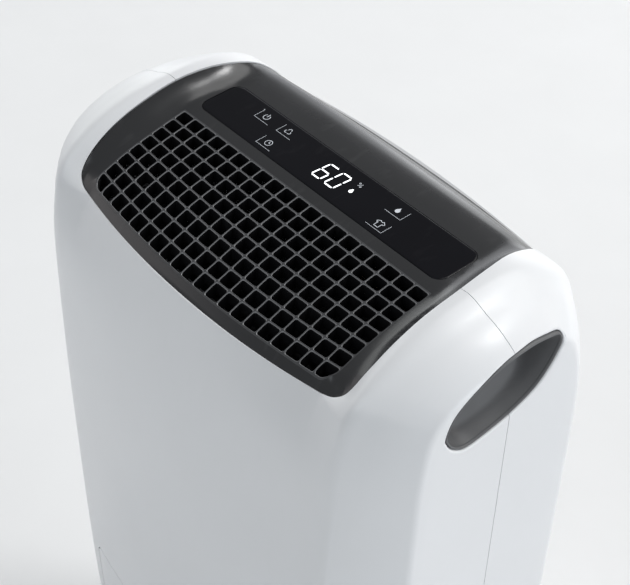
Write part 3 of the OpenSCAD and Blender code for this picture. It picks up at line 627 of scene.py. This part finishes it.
def edge_weights(obj):
    """Bevel weight of the edges round the opening for the dark panel."""
    with editing(obj) as b:
        layer = b.edges.layers.float.get("bevel_weight_edge") or b.edges.layers.float.new("bevel_weight_edge")
        for e in b.edges:
            mid = (e.verts[0].co + e.verts[1].co) / 2 / MM
            across_seam = abs(e.verts[0].co.y) < MM and abs(e.verts[1].co.y) < MM
            if e.calc_face_angle(0) > math.radians(55) and mid.z > 440 and not across_seam:
                e[layer] = 1.0


def shell(name, front, material):
    """One half of the casing: outer skin, wall thickness and rounded rims."""
    obj = skin_piece(name, front, material)
    thicken(obj, WALL)
    edge_weights(obj)
    round_edges(obj, RIM_ROUND, 4)
    return obj


# ------------------------ hand grips

GRIP_PLACE = (-3.5, 461.0)              # y and z of the middle of the leaf
GRIP_TILT = math.radians(16)
# Mouth of the finger recess along and across its tilted long axis: blunt in front, pointed behind
MOUTH = [(-41, -4), (-38.2, -11), (-31.5, -17), (-18, -18.8), (0, -18.7), (17, -15.1), (29, -7.2),
         (37.4, 1.8), (39.8, 6.8), (34.5, 11), (19, 17.1), (1, 20.2), (-18, 18.2), (-33, 12.2), (-41, 2)]
LIP_STEPS = [0, 0.12, 0.35, 0.8, 1.2, 1.5]      # distances from the mouth's edge across its rolled lip
LIP_DEPTHS = [2.4, 1.2, 0.7, 0.55, 0.8, 1.7]    # depth under the casing's surface there
RECESS_LOW, RECESS_RISE = 7.0, 0.55     # depth under the lower edge and how it grows upward
WALL_SLOPE = 2.3                        # steepness of the recess walls
WALL_BLEND = 1.1                        # softness of the bend between wall and floor
GRIP_WALL = 1.6
MOUTH_GAP, MOUTH_ROUND = 0.3, 1.6       # gap round the grip and edge radius of the casing there


def closed_curve(points, count):
    """Evenly spaced points on a smooth closed curve through points."""
    loop = points[-3:] + points + points[:3]
    knots = chord_knots([(x, y, 0) for x, y in loop])
    curve = smooth_curve(loop, knots)
    first, last = knots[3], knots[3 + len(points)]
    return [tuple(curve(first + (last - first) * k / count)) for k in range(count)]


MOUTH_LINE = closed_curve(MOUTH, 110)


def mouth_place(u, v):
    """y and z of a place given along and across the mouth."""
    c, s = math.cos(GRIP_TILT), math.sin(GRIP_TILT)
    return GRIP_PLACE[0] + u * c - v * s, GRIP_PLACE[1] + u * s + v * c


def surface_finder(skins):
    """Function that gives the outer x of the right side of the casing at y, z."""
    trees = [BVHTree.FromPolygons([tuple(p) for p in points], faces) for points, faces in skins]

    def find(y, z):
        hits = [tree.ray_cast(Vector((260, y, z)), Vector((-1, 0, 0))) for tree in trees]
        xs = [h[0].x for h in hits if h[0] is not None]
        return max(xs) if xs else side_half(z)

    return find


def mouth_ring(find, side, grow, depth):
    """Closed ring of the mouth, grown by grow and sunk by depth under the surface."""
    ring = []
    for u, v in offset_outline(MOUTH_LINE, grow):
        y, z = mouth_place(u, v)
        ring.append((side * (find(y, z) - depth), y, z))
    return ring


def grip_cutter(find, side):
    """Tool that cuts the mouth of the recess with a softly rounded edge."""
    rings = [mouth_ring(find, side, MOUTH_GAP + MOUTH_ROUND, -4.0)]
    for k in range(6):
        a = math.radians(5 + 85 * k / 5)
        grow, depth = MOUTH_ROUND * (1 - math.sin(a)), MOUTH_ROUND * (1 - math.cos(a))
        rings.append(mouth_ring(find, side, MOUTH_GAP + grow, depth))
    rings.append(mouth_ring(find, side, MOUTH_GAP, 9.0))
    tool = loft("cutter", rings, None)
    tidy(tool)
    return tool


def nearest_foot(plan, outline):
    """Per plan point: the nearest place on a closed outline, its distance, edge and share of that edge."""
    p = np.array(plan, float)[:, None]
    a = np.array(outline, float)[None, :, :2]
    d = np.roll(a, -1, axis=1) - a
    share = np.clip(((p - a) * d).sum(2) / (d ** 2).sum(2), 0, 1)
    foot = a + d * share[:, :, None]
    gap = np.linalg.norm(p - foot, axis=2)
    rows, edge = np.arange(len(p)), gap.argmin(1)
    return foot[rows, edge], gap[rows, edge], edge, share[rows, edge]


def recess_depth(gap, v):
    """Depth of the recess: rolled lip, then drafted wall blended into a floor that deepens upward."""
    lip = np.interp(gap, LIP_STEPS, LIP_DEPTHS)
    wall = LIP_DEPTHS[-1] + (gap - LIP_STEPS[-1]) * WALL_SLOPE
    floor = RECESS_LOW + RECESS_RISE * (v + 19)
    blend = -WALL_BLEND * np.log(np.exp(-wall / WALL_BLEND) + np.exp(-floor / WALL_BLEND))
    return np.where(gap < LIP_STEPS[-1], lip, np.maximum(blend, LIP_DEPTHS[-1]))


def make_grip(find, side, material):
    """Finger recess moulded in one piece with its lip."""
    rings = [offset_outline(MOUTH_LINE, -d) for d in LIP_STEPS[1:]]
    plan, faces = plate_faces(MOUTH_LINE, [], 1.6, rings)
    depth = recess_depth(nearest_foot(plan, MOUTH_LINE)[1], np.array(plan)[:, 1])
    points = []
    for (u, v), d in zip(plan, depth):
        y, z = mouth_place(u, v)
        points.append((side * (find(y, z) - d), y, z))
    obj = new_piece("grip_right_cup" if side > 0 else "grip_left_cup", points, faces, material)
    prune(obj)
    face_out(obj, side)
    thicken(obj, GRIP_WALL)
    tidy(obj, sharp=75)
    return obj


# ------------------------ dark top panel

# Height of the panel along its middle as (y, z)
BASE_Z = [(-90, 450), (-86, 454.5), (-78, 461.8), (-62.8, 468.7), (-46.3, 475.6), (-30, 480.6),
          (-14, 484.8), (2, 488.5), (17, 489.75), (32, 490.9), (46, 491.7), (57, 490.6), (66, 486.4),
          (74, 479.4), (82, 471)]
FLARE = 17.0                            # width over which the panel rises to its rim at the sides
FLARE_FRONT = 7.0                       # width over which it rolls down to its front edge
PANEL_LOW = 0.7                         # the panel's edge lies this far below the white rim
PANEL_GAP = 0.4                         # and this far inside it
PANEL_WALL = 2.6


def rim_loop():
    """Plan of the opening as (x, y, z), counter-clockwise from the middle of the front edge."""
    def from_middle(middle, corner):
        """Points of the front or rear edge from its middle (y, z) to just before its corner."""
        y, z = middle
        shares = [k / 24 for k in range(24)]
        return [(corner.x * u, y + (corner.y - y) * u ** 2, z + (corner.z - z) * u ** 2) for u in shares]

    side = [rim_point(t) for t in sample_knots(LIP_FRONT, LIP_REAR, 3.0)]
    half = from_middle(MIDDLE_FRONT[-1], side[0]) + [tuple(p) for p in side]
    half += reversed(from_middle(MIDDLE_REAR[0], side[-1]))
    return half + [(-x, y, z) for x, y, z in reversed(half[1:-1])]


RIM_LOOP = np.array(rim_loop())
BASE_CURVE = smooth_curve(BASE_Z, [y for y, _ in BASE_Z])
BASE_TABLE = np.array([tuple(BASE_CURVE(y)) for y in np.linspace(-90, 82, 345)])


def panel_heights(plan):
    """Height of the dark panel at each (x, y) of plan."""
    foot, gap, edge, share = nearest_foot(plan, RIM_LOOP)
    y, z = np.array(plan, float)[:, 1], RIM_LOOP[:, 2]
    rim_z = z[edge] + (np.roll(z, -1) - z)[edge] * share - PANEL_LOW
    base = np.interp(y, BASE_TABLE[:, 0], BASE_TABLE[:, 1])
    inward = (y - foot[:, 1]) / np.maximum(gap, 1e-6)
    flare = FLARE + (FLARE_FRONT - FLARE) * np.clip(inward, 0, 1) ** 2
    return base + (rim_z - base) * np.clip(1 - gap / flare, 0, 1) ** 2


def plate_faces(outer, holes, step=0, creases=()):
    """Triangles inside outer and outside the holes, with the creases and a grid of that step in them."""
    loops, verts = [], []
    for outline in (outer, *holes, *creases):
        loops.append(range(len(verts), len(verts) + len(outline)))
        verts += [Vector(p) for p in outline]
    edges = [(loop[i - 1], loop[i]) for loop in loops for i in range(len(loop))]
    if step:
        low, high = np.array(outer).min(0), np.array(outer).max(0)
        xs, ys = (np.arange(low[axis], high[axis], step) for axis in (0, 1))
        grid = np.array([(x, y) for x in xs for y in ys])
        border = np.array([tuple(v) for v in verts])
        gap = np.sqrt(((grid[:, None] - border[None]) ** 2).sum(2)).min(1)
        verts += [Vector(p) for p in grid[gap > 0.55 * step]]
    regions = [list(loop) for loop in loops[:1 + len(holes)]]
    points, _, faces, _, _, inside = delaunay_2d_cdt(verts, edges, regions, 0, 1e-5)
    kept = [tuple(f) for f, owners in zip(faces, inside) if owners == [0]]
    return [tuple(p) for p in points], kept


def face_up(obj):
    """Turns the faces of an open sheet so that they look up."""
    with editing(obj) as b:
        for f in b.faces:
            f.normal_update()
            if f.normal.z < 0:
                f.normal_flip()


def make_top_panel(material):
    """Dark crown with its raised flare, pierced for the grille and for the touch glass."""
    outer = offset_outline([(x, y) for x, y, _ in RIM_LOOP], -PANEL_GAP)
    creases = [offset_outline(outer, -inset) for inset in (1.3, 2.8)]
    plan, faces = plate_faces(outer, [grille_outline(0.56), glass_outline(0.22)], 3.6, creases)
    obj = new_piece("crown_panel", [(*p, z) for p, z in zip(plan, panel_heights(plan))], faces, material)
    prune(obj)
    face_up(obj)
    thicken(obj, PANEL_WALL)
    tidy(obj, sharp=45)
    return obj


# ------------------------ outlet grille

COLUMNS = 20
ROWS = 8
PITCH = 10.8
RIB_TOP = 0.35                          # flat crest of a rib
RIB = 1.05                              # its width below the chamfers
RIB_CHAMFER = 0.45                      # height of the chamfers
GRILLE_DEPTH = 8.0
CELL_R = 1.4
CORNER_R = 9.0                          # arc of the lattice's two front corners


def lattice(u, s):
    """Plan place of a lattice node: u pitches from the middle, s rows from the front.

    The rows bow forward in the middle, less towards the back, and lie a little closer there.
    """
    bow = (7.1 - 0.9 * s) * (1 - (2 * u / COLUMNS) ** 2)
    return Vector((u * PITCH, -71.3 + 8.45 * s - 0.025 * s * s - bow))


def clip_corner(p, inset):
    """Pulls a plan point onto the arc of a front corner if it lies past it."""
    for side in (-1, 1):
        centre = lattice(side * COLUMNS / 2, 0) + Vector((-side * CORNER_R, CORNER_R * 0.86))
        d = p - centre
        if d.x * side > 0 and d.y < 0 and d.length > CORNER_R - inset:
            return centre + d.normalized() * (CORNER_R - inset)
    return p


def grille_outline(grow):
    """Closed outline round all the cells, counter-clockwise, grown by grow."""
    half = COLUMNS / 2
    front = [lattice(-half + 2 * half * k / 200, 0) for k in range(201)]
    right = [lattice(half, ROWS * k / 64) for k in range(1, 64)]
    rear = [lattice(half - 2 * half * k / 60, ROWS) for k in range(61)]
    left = [lattice(-half, ROWS - ROWS * k / 64) for k in range(1, 64)]
    loop = [clip_corner(p, 0) for p in front + right + rear + left]
    clean = [loop[0]]
    for p in loop[1:]:
        if (p - clean[-1]).length > 0.5:
            clean.append(p)
    return offset_outline([tuple(p) for p in clean], grow)


def cell_outline(column, row, inset):
    """One air cell: its sides moved inward, corners rounded, clipped by the grille's corner arcs."""
    u = column - COLUMNS / 2
    quad = [lattice(u, row), lattice(u + 1, row), lattice(u + 1, row + 1), lattice(u, row + 1)]
    lines = []
    for i in range(4):
        a, b = quad[i], quad[(i + 1) % 4]
        n = Vector((-(b - a).y, (b - a).x)).normalized()
        lines.append((a + n * inset, (b - a).normalized()))
    tips = []
    for i in range(4):
        (p, d), (q, e) = lines[i - 1], lines[i]
        tips.append(p + d * ((q - p).cross(e) / d.cross(e)))
    out = []
    steps = 8 if row == 0 and column in (0, COLUMNS - 1) else 3
    for i in range(4):
        tip, before, after = tips[i], tips[i - 1], tips[(i + 1) % 4]
        a = tip + (before - tip).normalized() * CELL_R
        b = tip + (after - tip).normalized() * CELL_R
        straight = (after - b).normalized() * ((after - b).length - CELL_R)
        out += [bezier(a, tip, b, w) for w in (0, 0.33, 0.67, 1)]
        out += [b + straight * w / steps for w in range(1, steps)]
    return [tuple(clip_corner(p, inset)) for p in out]


def usable(cell):
    """False for a cell that the corner arc has almost closed."""
    area = sum(a[0] * b[1] - b[0] * a[1] for a, b in zip(cell, cell[1:] + cell[:1])) / 2
    return area > 9


def upward(points, face):
    a, b, c = (Vector(points[i]) for i in face[:3])
    return (b - a).cross(c - a).z > 0


def make_lattice(crest, painted_highlight_chamfer, wall):
    """Grid of ribs as one closed body: chamfered tops and straight deep walls."""
    outer = grille_outline(0.55)
    cells = [(c, r) for c in range(COLUMNS) for r in range(ROWS) if usable(cell_outline(c, r, RIB_TOP / 2))]
    plan, faces = plate_faces(outer, [cell_outline(c, r, RIB_TOP / 2) for c, r in cells])
    count, start = len(plan), len(outer)
    low_plan, loops = list(plan), []
    for c, r in cells:
        cell = cell_outline(c, r, RIB / 2)
        loops.append(range(start, start + len(cell)))
        low_plan[start:start + len(cell)] = cell
        start += len(cell)
    low_heights = panel_heights(low_plan)
    points = [(*p, z) for p, z in zip(plan, panel_heights(plan))]
    for depth in (RIB_CHAMFER, GRILLE_DEPTH):
        points += [(*p, z - depth) for p, z in zip(low_plan, low_heights)]
    all_faces = [f if upward(points, f) else tuple(reversed(f)) for f in faces]
    all_faces += [tuple(i + 2 * count for i in reversed(f)) for f in all_faces]

    def wall_faces(loop, top, low):
        """Band between two levels: 0 the crest, 1 the foot of the chamfers, 2 the bottom."""
        for i in range(len(loop)):
            a, b = loop[i - 1], loop[i]
            all_faces.append((a + top * count, b + top * count, b + low * count, a + low * count))

    wall_faces(range(len(outer)), 0, 2)
    for loop in loops:
        wall_faces(loop, 0, 1)
        wall_faces(loop, 1, 2)
    # finish by level: the chamfer faces take the lighter finish, painted highlight round each cell
    obj = new_piece("outlet_lattice", points, all_faces, crest, (painted_highlight_chamfer, wall))
    # the deep walls and the bottom take the near-black finish: painted shade inside the cells
    for polygon in obj.data.polygons:
        polygon.material_index = max(polygon.vertices) // count
    prune(obj)
    tidy(obj, sharp=30)
    return obj


# ------------------------ touch glass and its display

GLASS_PLACE = Vector((0, 17.6, 489.9))
GLASS_TILT = math.radians(4.4)
GLASS_LEN, GLASS_WID, GLASS_R = 211.5, 30.4, 7.0
INK = 0.06                              # thickness of the printed and lit marks
DIGIT, ICON = 0, 1                      # kinds of mark
DIGIT_WID, DIGIT_HIGH, DIGIT_STROKE, DIGIT_LEAN = 7.2, 13.2, 0.9, 0.09


def on_glass(x, y, lift):
    """Point of the tilted glass plane above plan place x, y."""
    c, s = math.cos(GLASS_TILT), math.sin(GLASS_TILT)
    along = (y - GLASS_PLACE.y) / c
    return GLASS_PLACE + Vector((x, along * c - lift * s, along * s + lift * c))


def glass_outline(grow):
    flat = rounded_rect(GLASS_LEN + 2 * grow, GLASS_WID + 2 * grow, GLASS_R + grow, 10)
    return [(x, y * math.cos(GLASS_TILT) + GLASS_PLACE.y) for x, y in flat]


def make_glass(material):
    """Touch glass with a fine polished chamfer all round."""
    rings = []
    for grow, lift in ((0, -2.9), (0, -0.45), (-0.12, -0.2), (-0.4, -0.05), (-1.2, 0.0)):
        rings.append([tuple(on_glass(x, y, lift)) for x, y in glass_outline(grow)])
    obj = loft("touch_glass", rings, material)
    tidy(obj, sharp=50)
    return obj


class Marks:
    """Collects flat marks that lie on the glass, each of one kind."""

    def __init__(self):
        self.points, self.faces, self.kinds = [], [], []

    def area(self, outline, kind):
        """Thin solid slab with that counter-clockwise outline."""
        n, start = len(outline), len(self.points)
        low, high = range(start, start + n), range(start + n, start + 2 * n)
        for lift in (-0.02, INK):
            self.points += [tuple(on_glass(x, y, lift)) for x, y in outline]
        self.faces += [tuple(reversed(low)), tuple(high)]
        self.faces += [(low[i - 1], low[i], high[i], high[i - 1]) for i in range(n)]
        self.kinds += [kind] * (n + 2)

    def line(self, points, width):
        """Stroke of an icon, of even width along points."""
        for (ax, ay), (bx, by) in zip(points, points[1:]):
            length = math.hypot(bx - ax, by - ay)
            dx, dy = (bx - ax) / length * width / 2, (by - ay) / length * width / 2
            self.area([(ax - dx + dy, ay - dy - dx), (bx + dx + dy, by + dy - dx),
                       (bx + dx - dy, by + dy + dx), (ax - dx - dy, ay - dy + dx)], ICON)

    def arc(self, centre, radius, start, end, width, steps=16):
        """Arc stroke of an icon from start to end, in degrees."""
        def at(r, k):
            a = math.radians(start + (end - start) * k / steps)
            return (centre[0] + r * math.cos(a), centre[1] + r * math.sin(a))
        for k in range(steps):
            self.area([at(radius - width / 2, k), at(radius + width / 2, k),
                       at(radius + width / 2, k + 1), at(radius - width / 2, k + 1)], ICON)


SEGMENTS = {"6": "acdefg", "0": "abcdef"}


def digit(marks, text, x, y):
    """Seven-segment digit with its lower left corner at x, y."""
    width, height, mid = DIGIT_WID, DIGIT_HIGH, DIGIT_HIGH / 2

    def bar(x0, y0, x1, y1):
        """Segment with pointed ends."""
        h = DIGIT_STROKE / 2
        dx, dy = (h, 0) if y0 == y1 else (0, h)
        outline = [(x0 + dx, y0 + dy), (x0 + 2 * dx + dy, y0 + 2 * dy - dx),
                   (x1 - 2 * dx + dy, y1 - 2 * dy - dx), (x1 - dx, y1 - dy),
                   (x1 - 2 * dx - dy, y1 - 2 * dy + dx), (x0 + 2 * dx - dy, y0 + 2 * dy + dx)]
        marks.area([(x + a + DIGIT_LEAN * b, y + b) for a, b in outline], DIGIT)

    lines = {"a": (0, height, width, height), "b": (width, mid, width, height), "c": (width, 0, width, mid),
             "d": (0, 0, width, 0), "e": (0, 0, 0, mid), "f": (0, mid, 0, height), "g": (0, mid, width, mid)}
    for s in SEGMENTS[text]:
        bar(*lines[s])


def drop_outline(x, y, size):
    """Water drop with its tip up, counter-clockwise."""
    out = []
    for k in range(20):
        a = math.radians(-230 + 280 * k / 19)
        out.append((x + size * 0.36 * math.cos(a), y + size * 0.36 * math.sin(a) - size * 0.14))
    return out + [(x, y + size * 0.55)]


def make_marks(digits, icons):
    """Lit reading with a percent sign and a drop, and the small touch symbols beside it."""
    m = Marks()
    digit(m, "6", -9.6, 10.9)
    digit(m, "0", 1.5, 10.9)
    m.arc((16.2, 24.9), 0.5, 0, 360, 0.3, 10)
    m.arc((18.4, 22.9), 0.5, 0, 360, 0.3, 10)
    m.line([(16.3, 22.7), (18.3, 25.1)], 0.3)
    m.area(drop_outline(17.6, 17.2, 3.4), DIGIT)
    # power
    m.arc((-68.0, 24.6), 2.2, 125, 415, 0.4)
    m.line([(-68.0, 24.8), (-68.0, 27.4)], 0.4)
    # fan
    for k in range(3):
        a = math.radians(90 + 120 * k)
        m.arc((-48.4 + 1.3 * math.cos(a), 25.2 + 1.3 * math.sin(a)), 1.1, 120 * k, 120 * k + 200, 0.4, 8)
    # timer
    m.arc((-47.7, 10.4), 2.3, 0, 360, 0.35, 20)
    m.line([(-47.7, 11.9), (-47.7, 10.4), (-46.6, 10.4)], 0.35)
    # humidity
    m.area(drop_outline(47.7, 25.0, 4.2), ICON)
    # laundry
    shirt = [(-3.4, 1.4), (-1.3, 2.9), (-0.7, 2.2), (0.7, 2.2), (1.3, 2.9), (3.4, 1.4), (2.5, 0.2),
             (1.8, 0.7), (1.8, -2.9), (-1.8, -2.9), (-1.8, 0.7), (-2.5, 0.2), (-3.4, 1.4)]
    m.line([(49.2 + x * 0.9, 10.4 + y * 0.9) for x, y in shirt], 0.35)
    # angle beside each symbol, and a pilot dot
    for x, y, way in ((-68, 24.6, -1), (-48, 25.2, -1), (-47.7, 10.4, -1), (48, 24.8, 1), (49.2, 10.4, 1)):
        m.line([(x - 6.2 * way, y - 4.4), (x + 6.4 * way, y - 4.4), (x + 6.4 * way, y + 3.2)], 0.2)
    m.arc((-75.0, 28.2), 0.2, 0, 360, 0.3, 8)
    obj = new_piece("display_marks", m.points, m.faces, digits, (icons,))
    for polygon, kind in zip(obj.data.polygons, m.kinds):
        polygon.material_index = kind
    return obj


# ------------------------ tank door and its window

DOOR_HALF, DOOR_LOW, DOOR_HIGH = 105.6, 24.0, 179.0
DOOR_R = 6.0
NOTCH_R = 38.0
WINDOW = (17.0, 77.0, 8.4, 95.0)        # width, height, corner radius, middle height
WINDOW_SINK = 0.5                       # the window lies this far below the door's face


def front_tool(outline):
    """Closed prism through the front wall with that (x, z) outline."""
    tool = loft("cutter", [[(x, y, z) for x, z in outline] for y in (-140.0, -60.0)], None)
    tidy(tool)
    return tool


def door_outline(inset):
    return rounded_rect(2 * (DOOR_HALF - inset), DOOR_HIGH - DOOR_LOW - 2 * inset, DOOR_R, 6,
                        (0, (DOOR_LOW + DOOR_HIGH) / 2))


def notch_outline():
    """Finger notch at the top of the door: a shallow half ellipse."""
    turns = [2 * math.pi * k / 40 for k in range(40)]
    return [(NOTCH_R * math.cos(a), DOOR_HIGH + NOTCH_R * 0.28 * math.sin(a)) for a in turns]


def window_outline(grow):
    width, height, radius, z = WINDOW
    return rounded_rect(width + 2 * grow, height + 2 * grow, radius + grow, 8, (0, z))


def make_door(shell_material, window_material):
    """Tank front with finger notch, and the smoked level window set in it."""
    door = skin_piece("tank_door", True, shell_material)
    thicken(door, WALL)
    combine(door, "INTERSECT", front_tool(door_outline(0.55)))
    combine(door, "DIFFERENCE", front_tool(notch_outline()), front_tool(window_outline(0)))
    round_edges(door, 0.5, 2, 60)
    window = skin_piece("level_window", True, window_material)
    with editing(window) as b:
        b.normal_update()
        for v in b.verts:
            v.co -= v.normal * WINDOW_SINK * MM
    thicken(window, WALL - WINDOW_SINK)
    combine(window, "INTERSECT", front_tool(window_outline(-0.3)))
    round_edges(window, 0.3, 2, 60)
    for obj in (door, window):
        tidy(obj, sharp=40)
    return door, window


# ------------------------ assembly

CAD_FINISH = {
    "grey": ["base_tray"],
    "light": ["chassis_wall", "tank_lid", "drip_tray", "drain_spigot", "electronics_box"],
    "white": ["tank_float", "run_capacitor", "humidity_sensor"],
    "grille_white": ["intake_grille"],
    "tank": ["water_tank"],
    "grip": ["tank_handle", "air_filter"],
    "rubber": ["rubber_feet", "drain_cap", "drain_hose", "grommets"],
    # fan_housing takes the black finish instead of grey to darken what shows through the grille cells:
    # painted shade
    "black": ["terminal_cover", "float_sensor", "cord_gland", "fan_housing", "blower_wheel"],
    "net": ["filter_mesh"],
    "fins": ["evaporator_fins", "condenser_fins"],
    "copper": ["evaporator_tube", "condenser_tube", "suction_pipe", "discharge_pipe"],
    "steel": ["grille_screws", "coil_plates", "mounting_studs", "stud_nuts", "motor_shaft", "motor_bracket"],
    "motor": ["fan_motor"],
    "enamel": ["compressor", "accumulator"],
    "board": ["display_board"],
}


def dress_frame(finishes):
    """Gives every carried-over CAD node its finish."""
    for name, nodes in CAD_FINISH.items():
        for node in nodes:
            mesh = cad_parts[node].data
            mesh.materials.clear()
            mesh.materials.append(finishes[name])


def place(obj, body, slot, *nodes):
    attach(obj, body)
    if nodes:
        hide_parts(*nodes)


def main():
    make_camera()
    make_stage()
    finishes = make_finishes()
    dress_frame(finishes)

    find = surface_finder([half_skin(True), half_skin(False)])
    front = shell("front_casing", True, finishes["shell"])
    rear = shell("rear_casing", False, finishes["shell"])
    combine(front, "DIFFERENCE", grip_cutter(find, 1), grip_cutter(find, -1), front_tool(door_outline(0)))
    combine(rear, "DIFFERENCE", grip_cutter(find, 1), grip_cutter(find, -1))
    for obj in (front, rear):
        tidy(obj, sharp=35)
    place(front, "housing", "white_shell", "front_shell")
    place(rear, "housing", "white_shell", "rear_shell")

    place(make_top_panel(finishes["panel"]), "housing", "dark_trim", "top_panel")
    grille = make_lattice(finishes["lattice"], finishes["painted_highlight_chamfer"], finishes["lattice_wall_painted_shade"])
    place(grille, "housing", "dark_trim", "outlet_grille")
    place(make_glass(finishes["glass"]), "housing", "black_glass", "control_glass")
    place(make_marks(finishes["digits"], finishes["icons"]), "housing", "black_glass")
    place(make_grip(find, 1, finishes["grip"]), "housing", "grip_grey", "grip_right")
    place(make_grip(find, -1, finishes["grip"]), "housing", "grip_grey", "grip_left")
    door, window = make_door(finishes["shell"], finishes["window"])
    place(door, "tank", "white_shell", "tank_front")
    place(window, "tank", "smoked_window", "tank_window")


main()
